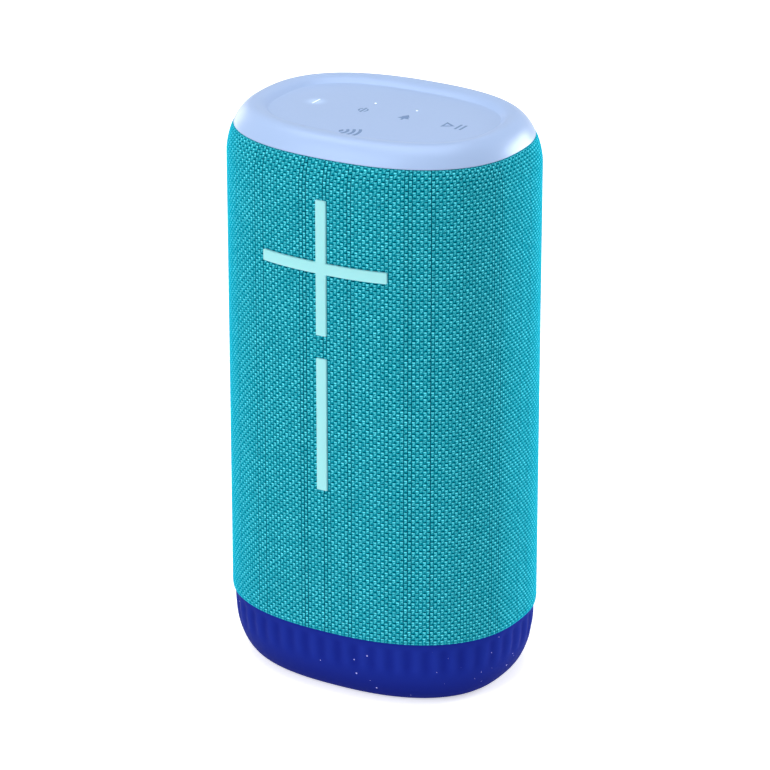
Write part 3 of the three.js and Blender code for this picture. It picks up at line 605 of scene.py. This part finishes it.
# %% Floor
FLOOR_SIZE = 12
FLOOR_GLOW = 0.56
let_go()
bpy.ops.mesh.primitive_plane_add(size=FLOOR_SIZE)
floor = bpy.context.object
floor.name = "studio_floor"
floor_finish = Finish("floor_paper", (0.9, 0.9, 0.9, 1), 0.9, Specular_IOR_Level=0.0,
                      Emission_Color=(1, 1, 1, 1), Emission_Strength=FLOOR_GLOW)
floor_finish.to("Roughness", floor_finish.spread(floor_finish.noise(40, 2), 0, 1, 0.85, 0.95))
floor.data.materials.append(floor_finish.material)

# %% [markdown]
# ## Sleeve
# The sleeve is a woven tube pulled over the grille shell, with a narrow hem turned in at each
# end. There are two grid columns for each upright thread, one on its back and one in the groove
# beside it, and one stop for each level thread, so lifting every other crossing gives the weave
# a real relief. The cloth is drawn wider over the broad faces than round the ends. Under the
# volume marks it is pressed in, so a pressed mark stays above it.

# %% Sleeve sizes
SLEEVE_WALL = 1.2 * MM
HEM = 0.7 * MM
BUTT = 0.04 * MM
RAISED = 0.12 * MM
SUNK = -0.1 * MM
GROOVE = -0.08 * MM
# margin inside a mark's edge, and how far the cloth is pushed there
PRESSED_IN = ((-0.8 * MM, -0.4 * MM), (0.4 * MM, -0.9 * MM))
KEY_FLANGE = 1.6 * MM
MARK_HALF_WIDTH = (MINUS_HIGH.x - MINUS_LOW.x) / 2 - KEY_FLANGE
MARK_HALF_LENGTH = (PLUS_HIGH.x - PLUS_LOW.x) / 2 - KEY_FLANGE
PLUS_Z = (PLUS_LOW.z + PLUS_HIGH.z) / 2
MINUS_Z = (MINUS_LOW.z + MINUS_HIGH.z) / 2
WEAVE_PITCH_AT_X = (
    np.array([0, 12, 21, 30, 37.4, 44.4, 50.4, 55.1, 57.2]) * MM,
    np.array([1.385, 1.39, 1.405, 1.41, 1.344, 1.246, 1.179, 1.138, 1.126]) * MM,
)
print(f"marks: {2000 * MARK_HALF_WIDTH:.1f} mm wide, {2000 * MARK_HALF_LENGTH:.1f} mm long")


def weave_pitch(x, y):
    return np.interp(np.abs(x), *WEAVE_PITCH_AT_X)


def sleeve_path():
    """Stops from the lower hem up the outside, over the top hem and down the inside."""
    low, high = BOOT_HIGH.z + BUTT, CAP_SEAM_Z - BUTT
    rows = round((high - low - 2 * HEM) / WEAVE_ROW)
    outside = [(z, shoulder_inset(z)) for z in np.linspace(low + HEM, high - HEM, rows + 1)]
    top = shoulder_inset(high)
    upper_hem = [(high - 0.25 * HEM, top + 0.06 * MM), (high, top + 0.35 * SLEEVE_WALL)]
    inside = [
        (high, top + SLEEVE_WALL),
        (0.94 * high, shoulder_inset(0.94 * high) + SLEEVE_WALL),
        (0.5 * high, SLEEVE_WALL),
        (low, SLEEVE_WALL),
    ]
    lower_hem = [(low, 0.45 * SLEEVE_WALL), (low + 0.25 * HEM, 0.08 * MM)]
    path = outside + upper_hem + inside + lower_hem + [outside[0]]
    return path, rows


def under_mark(x, z, margin):
    """One where a point lies under a volume mark, inside its edge by the margin."""
    narrow, long = MARK_HALF_WIDTH - margin, MARK_HALF_LENGTH - margin
    upright = (np.abs(x) < narrow) & (
        (np.abs(z - PLUS_Z) < long) | (np.abs(z - MINUS_Z) < long)
    )
    level = (np.abs(z - PLUS_Z) < narrow) & (np.abs(x) < long)
    return upright | level


# %% Sleeve
def sleeve_shape(rows):
    def shape(column, stop, plan, out, z, inset):
        woven = (stop > 0) & (stop < rows)
        crossing = np.where((column // 2 + stop) % 2 == 1, RAISED, SUNK)
        lift = np.where(woven, np.where(column % 2 == 0, crossing, GROOVE), 0)
        front = woven & (plan[:, 1] < 0)
        for margin, push in PRESSED_IN:
            lift = np.where(front & under_mark(plan[:, 0], z, margin), push, lift)
        return np.column_stack([plan - out * (inset - lift)[:, None], z])

    return shape


SLEEVE_PATH, SLEEVE_ROWS = sleeve_path()
sleeve = rolled_skin("woven_sleeve", 2 * WEAVE_COLUMNS, SLEEVE_PATH,
                     sleeve_shape(SLEEVE_ROWS), weave_pitch)
smooth(sleeve, 180)
WEAVE_FINISH = woven_finish(WEAVE_COLUMNS, len(SLEEVE_PATH) - 1)
finish_piece(sleeve, WEAVE_FINISH.material, "housing", "woven_fabric", "fabric_sleeve")

# %% [markdown]
# ## Boot and charge door
# The boot is one rubber moulding with soft upright flutes that fade out towards both edges.
# The rear door is cut out of the same moulding, so the flutes run on across it.

# %% Boot
FLUTE_DEPTH = 0.55 * MM
BOOT_WALL = 2.4 * MM


def boot_path():
    top = BOOT_HIGH.z
    outside = [(z, base_inset(z)) for z in (0.0, 0.15 * MM, 0.5 * MM, 1.0 * MM, 1.7 * MM)]
    outside += [(z, base_inset(z)) for z in np.arange(2.5, 23.6, 1.05) * MM]
    rim = [(top - 1.2 * MM, base_inset(top)), (top - 0.3 * MM, base_inset(top) + 0.05 * MM),
           (top, base_inset(top) + 0.4 * MM), (top, base_inset(top) + BOOT_WALL - 0.3 * MM)]
    heights = np.array([15, 8, 5, 2.4]) * MM
    inner = base_inset(heights) + BOOT_WALL
    inside = list(zip(heights, inner))
    foot = [(0.0, base_inset(0.0) + depth * MM) for depth in (14, 6, 2, 0.5)]
    floor_inside = [(heights[-1], inner[-1] + depth * MM) for depth in (4, 12)]
    return foot + outside + rim + inside + floor_inside


def boot_shape(column, stop, plan, out, z, inset):
    turn = 2 * np.pi * (column / COLUMNS_PER_FLUTE + FLUTE_PHASE)
    outside = inset < base_inset(z) + 0.3 * MM
    fade = (np.clip((z - FLUTE_LOW) / FLUTE_FADE, 0, 1)
            * np.clip(2 * (FLUTE_HIGH - z) / FLUTE_FADE, 0, 1))
    fade = fade * fade * (3 - 2 * fade)
    groove = FLUTE_DEPTH * (0.5 + 0.5 * np.cos(turn)) * fade * outside
    return np.column_stack([plan - out * (inset + groove)[:, None], z])


def close_ends(piece):
    """Fills the open rings that are left at the two ends of a rolled skin."""
    pick(piece)
    bpy.ops.object.mode_set(mode="EDIT")
    bpy.ops.mesh.select_mode(type="EDGE")
    bpy.ops.mesh.select_all(action="DESELECT")
    bpy.ops.mesh.select_non_manifold(extend=False)
    bpy.ops.mesh.fill_holes(sides=0)
    bpy.ops.object.mode_set(mode="OBJECT")
    merge_and_face_out(piece)


boot = rolled_skin("fluted_boot", FLUTES * COLUMNS_PER_FLUTE, boot_path(), boot_shape)
close_ends(boot)

# %% [markdown]
# The door's outline is a rounded rectangle. The same cutter, a hair smaller, takes the door
# itself out of a copy of the boot.

# %% Door outline cutter
def rounded_cutter(name, low, high, y_low, y_high, radius, steps=6):
    """A prism along Y with rounded corners, made from a box with its four long edges bevelled."""
    let_go()
    centre = ((low[0] + high[0]) / 2, (y_low + y_high) / 2, (low[1] + high[1]) / 2)
    bpy.ops.mesh.primitive_cube_add(size=1, location=centre)
    cutter = bpy.context.object
    cutter.name = name
    cutter.scale = (high[0] - low[0], y_high - y_low, high[1] - low[1])
    place_in_mesh(cutter)
    bpy.ops.object.mode_set(mode="EDIT")
    bpy.ops.mesh.select_mode(type="EDGE")
    bpy.ops.mesh.select_all(action="DESELECT")
    bpy.ops.object.mode_set(mode="OBJECT")
    for edge in cutter.data.edges:
        first, second = (cutter.data.vertices[i].co for i in edge.vertices)
        edge.select = abs(first.y - second.y) > 1e-6
    bpy.ops.object.mode_set(mode="EDIT")
    bpy.ops.mesh.bevel(offset=radius, segments=steps, affect="EDGES")
    bpy.ops.object.mode_set(mode="OBJECT")
    return cutter


def copy_of(piece, name):
    made = piece.copy()
    made.data = piece.data.copy()
    made.name = name
    made.data.name = name
    bpy.context.scene.collection.objects.link(made)
    return made


def cut_with(piece, cutter, operation, keep_cutter=False):
    apply_modifier(piece, "BOOLEAN", object=cutter, operation=operation, solver="EXACT")
    if not keep_cutter:
        bpy.data.objects.remove(cutter)


DOOR_GAP = 0.12 * MM
DOOR_CORNER = 3 * MM
CUT_FROM_Y, CUT_TO_Y = 30 * MM, 60 * MM


def door_cutter(name, grow):
    low = (DOOR_LOW.x - grow, DOOR_LOW.z - grow)
    high = (DOOR_HIGH.x + grow, DOOR_HIGH.z + grow)
    return rounded_cutter(name, low, high, CUT_FROM_Y, CUT_TO_Y, DOOR_CORNER + grow)


# %% Cut the door out
door = copy_of(boot, "charge_door")
cut_with(door, door_cutter("door_cutter", 0), "INTERSECT")
cut_with(boot, door_cutter("doorway_cutter", DOOR_GAP), "DIFFERENCE")
for piece, body, node in ((boot, "housing", "base_boot"), (door, "charge_door", "port_door")):
    merge_and_face_out(piece, 1e-7)
    smooth(piece, 40)
    finish_piece(piece, BOOT_FINISH.material, body, "boot_rubber", node)

# %% [markdown]
# ## Cap
# The silicone cap rises from the seam in a soft bevel to a rounded crest, then drops into a
# shallow dish. The crest keeps its distance from the edge, while the dish has its own plan, so
# the slope between them is a little narrower at the short ends than along the sides.

# %% Cap skin
CAP_COLUMNS = 192
DISH_HALF_X = 42 * MM
DISH_HALF_Y = 28 * MM
DISH_POWER = 2.7
CAP_WALL = 2.0 * MM
DISH_WALL = [
    # way from the crest to the dish, share of the drop
    (0.0, 0.0), (0.12, 0.015), (0.25, 0.05), (0.38, 0.11), (0.5, 0.2), (0.62, 0.33),
    (0.72, 0.49), (0.81, 0.66), (0.88, 0.8), (0.94, 0.92), (0.985, 0.985), (1.03, 1.0),
]


def dish_plan(plan):
    """The dish's own outline, at the same headings as the body's points."""
    heading = np.arctan2(plan[:, 1] / HALF_Y, plan[:, 0] / HALF_X)
    c, s = np.cos(heading), np.sin(heading)
    reach = (np.abs(c) ** DISH_POWER + np.abs(s) ** DISH_POWER) ** (-1 / DISH_POWER)
    return np.stack([c * reach * DISH_HALF_X, s * reach * DISH_HALF_Y], axis=1)


def cap_stops():
    """Stops of (z, inset, way to the dish, shrink towards the middle)."""
    seam = CAP_SEAM_Z
    under = shoulder_inset(seam)
    stops = [(DISH_FLOOR_Z - CAP_WALL, CREST_INSET, 1.0, 0.5),
             (DISH_FLOOR_Z - CAP_WALL, CREST_INSET, 1.0, 0.0),
             (HEIGHT - 1.9 * CAP_WALL, CREST_INSET, 0.3, 0.0),
             (seam + 1.6 * MM, under + 1.1 * CAP_WALL, 0.0, 0.0),
             (seam, under + 0.9 * CAP_WALL, 0.0, 0.0), (seam, under + 0.45 * MM, 0.0, 0.0),
             (seam + 0.12 * MM, under + 0.15 * MM, 0.0, 0.0)]
    rise = seam + (HEIGHT - seam) * (1 - (1 - np.linspace(0.05, 1, 18)) ** 1.8)
    stops += [(z, shoulder_inset(z), 0.0, 0.0) for z in rise[:-1]]
    drop = HEIGHT - DISH_FLOOR_Z
    stops += [(HEIGHT - share * drop, CREST_INSET, way, 0.0) for way, share in DISH_WALL]
    stops += [(DISH_FLOOR_Z, CREST_INSET, 1.0, shrink) for shrink in (0.12, 0.5)]
    return stops


CAP_STOPS = cap_stops()


def cap_shape(column, stop, plan, out, z, inset):
    way = np.array([s[2] for s in CAP_STOPS])[stop][:, None]
    shrink = np.array([s[3] for s in CAP_STOPS])[stop][:, None]
    outer = plan - out * inset[:, None]
    flat = outer + (dish_plan(plan) - outer) * way
    return np.column_stack([flat * (1 - shrink), z])


cap = rolled_skin("silicone_cap", CAP_COLUMNS, [stop[:2] for stop in CAP_STOPS], cap_shape)
close_ends(cap)

# %% [markdown]
# The power key is lit from within, so its silicone glows round the light bar and fades out
# before the key's edge.

# %% Lit silicone
GLOW_REACH = 6 * MM
GLOW_FALL = 1.6
GLOW_STRENGTH = 0.22


def glowing_silicone(x, reach):
    finish = soft_silicone("lit_key_silicone", CAP_BASE, CAP_TINT)
    centred = finish.node("ShaderNodeVectorMath", {0: finish.place(), 1: (x, 0, DISH_FLOOR_Z)},
                          operation="SUBTRACT")
    away = finish.node("ShaderNodeVectorMath", {0: centred.outputs[0]}, operation="LENGTH")
    fade = finish.spread(away.outputs["Value"], 0, reach, 1.0, 0.0, smooth_step=True)
    finish.shader.inputs["Emission Color"].default_value = colour(215, 238, 255)
    finish.to("Emission Strength",
              finish.sum("MULTIPLY", finish.sum("POWER", fade, GLOW_FALL), GLOW_STRENGTH))
    return finish


POWER_LOW, POWER_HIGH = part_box("key_power")
LIT_FINISH = glowing_silicone((POWER_LOW.x + POWER_HIGH.x) / 2, GLOW_REACH)

# %% [markdown]
# The keys are round pads cut from the same skin, with a hairline between them and the cap, so
# they can be pressed and yet hardly show. Each one gets a stem that reaches down to its switch.

# %% Keys
KEY_NAMES = ("power", "pair", "boost", "play")
KEY_X = {}
for key in KEY_NAMES:
    low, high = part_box(f"key_{key}")
    KEY_X[key] = (low.x + high.x) / 2
LIGHT_X = {key: KEY_X[key] for key in ("pair", "boost")}
LIGHT_LOW, LIGHT_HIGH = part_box("pair_light_pipe")
LIGHT_Y = (LIGHT_LOW.y + LIGHT_HIGH.y) / 2
LIGHT_RADIUS = 0.42 * MM


def disc(name, x, y, low_z, high_z, radius, edge, sides=64):
    """A round pad: a cylinder with its upper rim softened."""
    let_go()
    bpy.ops.mesh.primitive_cylinder_add(
        vertices=sides, radius=radius, depth=high_z - low_z,
        location=(x, y, (low_z + high_z) / 2),
    )
    made = bpy.context.object
    made.name = name
    place_in_mesh(made)
    if edge:
        apply_modifier(made, "BEVEL", width=edge, segments=2, limit_method="ANGLE")
    return made


PAD_THICKNESS = 1.7 * MM
STEM_RADIUS = 2.2 * MM
STEM_EDGE = 0.3 * MM
STEM_OVERLAP = 0.2 * MM
HOLE_DEPTH = 4 * MM


def key_pad(key):
    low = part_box(f"key_{key}")[0]
    pad_low = DISH_FLOOR_Z - PAD_THICKNESS
    pad = disc(f"{key}_key_pad", KEY_X[key], 0, pad_low, DISH_FLOOR_Z,
               KEY_RADIUS - HAIRLINE, 0, 96)
    stem = disc("stem", KEY_X[key], 0, low.z, pad_low + STEM_OVERLAP,
                STEM_RADIUS, STEM_EDGE, 24)
    cut_with(pad, stem, "UNION")
    smooth(pad)
    finish = LIT_FINISH if key == "power" else CAP_FINISH
    finish_piece(pad, finish.material, f"{key}_key", "key_silicone", f"key_{key}")
    return pad


for key in KEY_NAMES:
    hole = disc("hole", KEY_X[key], 0, DISH_FLOOR_Z - HOLE_DEPTH, HEIGHT, KEY_RADIUS, 0, 96)
    cut_with(cap, hole, "DIFFERENCE")
for key, x in LIGHT_X.items():
    hole = disc("hole", x, LIGHT_Y, DISH_FLOOR_Z - HOLE_DEPTH, HEIGHT,
                LIGHT_RADIUS + HAIRLINE, 0, 24)
    cut_with(cap, hole, "DIFFERENCE")
merge_and_face_out(cap, 1e-7)
smooth(cap, 30)
finish_piece(cap, CAP_FINISH.material, "housing", "cap_silicone", "top_cap")
for key in KEY_NAMES:
    key_pad(key)

# %% [markdown]
# The status lights are the rounded tips of two clear rods that come up from the key board.

# %% Status lights
LIGHT_PROUD = 0.04 * MM
LIGHT_EDGE = 0.1 * MM
for key, x in LIGHT_X.items():
    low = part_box(f"{key}_light_pipe")[0]
    tip = disc(f"{key}_status_light", x, LIGHT_Y, low.z, DISH_FLOOR_Z + LIGHT_PROUD,
               LIGHT_RADIUS, LIGHT_EDGE, 24)
    smooth(tip)
    finish_piece(tip, STATUS_LIGHT.material, "housing", "light_guide", f"{key}_light_pipe")

# %% [markdown]
# ## Symbols
# The symbols are prints a few hundredths of a millimetre thick. They are plain pictograms:
# a bar with two waves for pairing, a tree for the outdoor boost, a triangle with two bars for
# play and pause, and a dot with three arcs where a phone is tapped.

# %% Print tools
PRINT_THICKNESS = 0.03 * MM


def flat_print(name, outline, x, y):
    """Fills a closed outline of (x, y) points in millimetres and thickens it to a print."""
    let_go()
    bpy.ops.mesh.primitive_circle_add(vertices=len(outline), radius=1, fill_type="NGON")
    made = bpy.context.object
    made.name = name
    made.data.name = name
    points = [(x + px * MM, y + py * MM, DISH_FLOOR_Z) for px, py in outline]
    move_points(made, points)
    pick(made)
    bpy.ops.object.mode_set(mode="EDIT")
    bpy.ops.mesh.select_all(action="SELECT")
    bpy.ops.mesh.extrude_region_move(
        TRANSFORM_OT_translate={"value": (0, 0, PRINT_THICKNESS)}
    )
    bpy.ops.object.mode_set(mode="OBJECT")
    merge_and_face_out(made, 1e-8)
    return made


def bar_outline(cx, cy, width, length):
    half_w, half_l = width / 2, length / 2
    return [(cx - half_w, cy - half_l), (cx + half_w, cy - half_l),
            (cx + half_w, cy + half_l), (cx - half_w, cy + half_l)]


def arc_outline(cx, cy, radius, thickness, start, end, steps=12):
    """A band along a circle between two angles in degrees."""
    angles = np.radians(np.linspace(start, end, steps + 1))
    outer = [(cx + radius * math.cos(a), cy + radius * math.sin(a)) for a in angles]
    inside = radius - thickness
    inner = [(cx + inside * math.cos(a), cy + inside * math.sin(a)) for a in reversed(angles)]
    return outer + inner


def print_symbol(name, outlines, x, y, body, slot, finish):
    strokes = [flat_print(f"{name}_{i}", outline, x, y)
               for i, outline in enumerate(outlines)]
    let_go()
    for stroke in strokes:
        stroke.select_set(True)
    bpy.context.view_layer.objects.active = strokes[0]
    if len(strokes) > 1:
        bpy.ops.object.join()
    symbol = bpy.context.object
    symbol.name = name
    finish_piece(symbol, finish, body, slot)
    return symbol


# %% Symbol outlines
PAIR_WAVES = [
    bar_outline(0, 0, 0.75, 5.0),
    arc_outline(-0.2, 0, 2.1, 0.62, -52, 52),
    arc_outline(0.2, 0, 2.1, 0.62, 128, 232),
]
TREE = [
    [(-2.3, -1.4), (2.3, -1.4), (1.2, 0.5), (1.6, 0.5), (0, 2.9), (-1.6, 0.5), (-1.2, 0.5)],
    bar_outline(0, -2.13, 0.9, 1.44),
]
PLAY_SIDE = 2.7
PLAY_PAUSE = [
    [(-3.9, -PLAY_SIDE), (0.5, 0), (-3.9, PLAY_SIDE), (-3.9, PLAY_SIDE - 1.1),
     (-0.95, 0), (-3.9, -PLAY_SIDE + 1.1)],
    [(-3.9, -1.6), (-3.2, -1.22), (-3.2, 1.22), (-3.9, 1.6)],
    bar_outline(1.95, 0, 0.85, 2 * PLAY_SIDE),
    bar_outline(3.85, 0, 0.85, 2 * PLAY_SIDE),
]
TAP_ARCS = [
    arc_outline(-4.5, 0, 1.7, 1.6, -60, 60),
    arc_outline(-4.5, 0, 3.8, 1.15, -48, 48),
    arc_outline(-4.5, 0, 6.0, 1.15, -40, 40),
    arc_outline(-4.5, 0, 8.2, 1.15, -36, 36),
]
TAP_Y = -24 * MM

print_symbol("pairing_symbol", PAIR_WAVES, KEY_X["pair"], 0, "pair_key", "key_silicone",
             INK_FINISH.material)
print_symbol("boost_symbol", TREE, KEY_X["boost"], 0, "boost_key", "key_silicone",
             INK_FINISH.material)
print_symbol("play_symbol", PLAY_PAUSE, KEY_X["play"], 0, "play_key", "key_silicone",
             INK_FINISH.material)
print_symbol("tap_symbol", TAP_ARCS, 0, TAP_Y, "housing", "cap_silicone", INK_FINISH.material)
power_bar = print_symbol("power_light_bar", [bar_outline(0, 0.3, 0.34, 5.4)], KEY_X["power"], 0,
                         "power_key", "light_guide", POWER_LIGHT.material)
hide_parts("power_light")

# %% [markdown]
# ## Volume marks
# The plus and the upright bar are long keys that stand half a millimetre proud of the cloth.
# Each begins as a small flat square whose edges are extruded into arms, one short step at a
# time, so that the arms can bend with the body. It is then wrapped, thickened inwards and
# given a soft rim.

# %% Marks
ARM_STEP = 1.9 * MM
MARK_DEPTH = 3.6 * MM
MARK_PROUD = 0.5 * MM
MARK_EDGE = 0.35 * MM


def arm(piece, heading, reach):
    """Extrudes the edge that lies furthest along a heading, in steps, to a reach."""
    steps = round((reach - MARK_HALF_WIDTH) / ARM_STEP)
    step = (reach - MARK_HALF_WIDTH) / steps
    for _ in range(steps):
        furthest = max(heading.dot(v.co) for v in piece.data.vertices)
        bpy.ops.object.mode_set(mode="EDIT")
        bpy.ops.mesh.select_mode(type="VERT")
        bpy.ops.mesh.select_all(action="DESELECT")
        bpy.ops.object.mode_set(mode="OBJECT")
        for vertex in piece.data.vertices:
            across = vertex.co - heading * heading.dot(vertex.co)
            at_tip = heading.dot(vertex.co) > furthest - 1e-6
            vertex.select = at_tip and across.length < 1.01 * MARK_HALF_WIDTH
        bpy.ops.object.mode_set(mode="EDIT")
        bpy.ops.mesh.extrude_region_move(
            TRANSFORM_OT_translate={"value": tuple(heading * step)}
        )
        bpy.ops.object.mode_set(mode="OBJECT")


def volume_mark(name, centre_z, headings, body, node):
    let_go()
    bpy.ops.mesh.primitive_plane_add(size=2 * MARK_HALF_WIDTH)
    mark = bpy.context.object
    mark.name = name
    mark.data.name = name
    for heading in headings:
        arm(mark, Vector(heading), MARK_HALF_LENGTH)
    flat = positions(mark)
    face = -front_depth(flat[:, 0]) - MARK_PROUD
    move_points(mark, np.column_stack([flat[:, 0], face, flat[:, 1] + centre_z]))
    pick(mark)
    bpy.ops.object.mode_set(mode="EDIT")
    bpy.ops.mesh.select_all(action="SELECT")
    bpy.ops.mesh.normals_make_consistent(inside=False)
    bpy.ops.object.mode_set(mode="OBJECT")
    if mark.data.polygons[0].normal.y > 0:
        bpy.ops.object.mode_set(mode="EDIT")
        bpy.ops.mesh.flip_normals()
        bpy.ops.object.mode_set(mode="OBJECT")
    apply_modifier(mark, "SOLIDIFY", thickness=MARK_DEPTH, offset=-1)
    apply_modifier(mark, "BEVEL", width=MARK_EDGE, segments=3, limit_method="ANGLE",
                   angle_limit=math.radians(50))
    merge_and_face_out(mark, 1e-7)
    smooth(mark, 50)
    finish_piece(mark, MARK_FINISH.material, body, "volume_marks", node)
    return mark


ACROSS = [(1, 0, 0), (-1, 0, 0)]
ALONG = [(0, 1, 0), (0, -1, 0)]
volume_mark("volume_plus", PLUS_Z, ACROSS + ALONG, "volume_up_key", "key_volume_up")
volume_mark("volume_bar", MINUS_Z, ALONG, "volume_down_key", "key_volume_down")

# %% [markdown]
# ## What is inside
# The inner pieces keep their CAD shapes. Each kind gets the finish of the real material.

# %% Inner finishes
def moulded_plastic(name, base, lighter):
    finish = Finish(name, base, 0.55)
    finish.to("Base Color", finish.mix(finish.noise(60, 3), base, lighter))
    finish.bump(finish.noise(2400, 3), 0.2, 0.05 * MM)
    return finish


def circuit_board():
    ground, copper = colour(10, 70, 40), colour(60, 130, 75)
    finish = Finish("circuit_board", ground, 0.35, Coat_Weight=0.3)
    grid = finish.node("ShaderNodeTexBrick", {
        "Vector": finish.place(), "Scale": 160.0, "Color1": ground, "Color2": ground,
        "Mortar": copper, "Mortar Size": 0.06, "Brick Width": 0.9, "Row Height": 0.35,
    })
    finish.to("Base Color", grid.outputs["Color"])
    return finish


def brushed(name, base, roughness):
    finish = Finish(name, base, roughness, Metallic=1.0)
    stretched = finish.node("ShaderNodeMapping", {"Vector": finish.place(),
                                                  "Scale": (1.0, 1.0, 30.0)})
    lines = finish.noise(400, 3, stretched.outputs[0])
    finish.to("Roughness", finish.spread(lines, 0.3, 0.7, roughness - 0.08, roughness + 0.12))
    finish.bump(lines, 0.1, 0.02 * MM)
    return finish


def pressed_fibre():
    base = colour(24, 24, 27)
    finish = Finish("cone_fibre", base, 0.8)
    fibres = finish.noise(1500, 6, roughness=0.8)
    finish.to("Base Color", finish.mix(finish.spread(fibres, 0.4, 0.75), base,
                                       colour(70, 70, 76)))
    finish.bump(fibres, 0.3, 0.06 * MM)
    return finish


def wrapped_cell():
    base = colour(40, 128, 96)
    finish = Finish("cell_wrap", base, 0.25, Coat_Weight=0.5)
    bands = finish.node("ShaderNodeTexWave", {"Vector": finish.place(), "Scale": 18.0,
                                              "Distortion": 1.5}, bands_direction="Z")
    finish.to("Base Color", finish.mix(finish.spread(bands.outputs["Fac"], 0.9, 1.0, 0, 0.25),
                                       base, colour(90, 180, 140)))
    return finish


def plain_rubber():
    finish = Finish("surround_rubber", colour(20, 20, 22), 0.7)
    finish.bump(finish.noise(1800, 3), 0.2, 0.04 * MM)
    return finish


INNER = {
    "inner_casing": moulded_plastic("inner_casing", colour(34, 37, 42), colour(44, 47, 52)),
    "grille_plastic": moulded_plastic("grille_plastic", colour(14, 40, 50), colour(20, 52, 62)),
    "circuit_board": circuit_board(),
    "heat_sink": brushed("heat_sink", colour(200, 203, 208), 0.32),
    "surround_rubber": plain_rubber(),
    "pressed_steel": brushed("pressed_steel", colour(165, 168, 172), 0.36),
    "screw_steel": brushed("screw_steel", colour(176, 180, 186), 0.28),
    "magnet_iron": brushed("magnet_iron", colour(92, 95, 100), 0.45),
    "cone_pulp": pressed_fibre(),
    "cell_wrap": wrapped_cell(),
}
SHOWN_ELSEWHERE = {"cap_silicone", "key_silicone", "light_guide", "woven_fabric",
                   "volume_marks", "boot_rubber"}
for entry in frame["record"]["subparts"]:
    slot = entry["material_slot"]
    if slot in SHOWN_ELSEWHERE:
        continue
    part = nodes[entry["node"]]
    part.data.materials.clear()
    part.data.materials.append(INNER[slot].material)
print("inner finishes:", list(INNER))
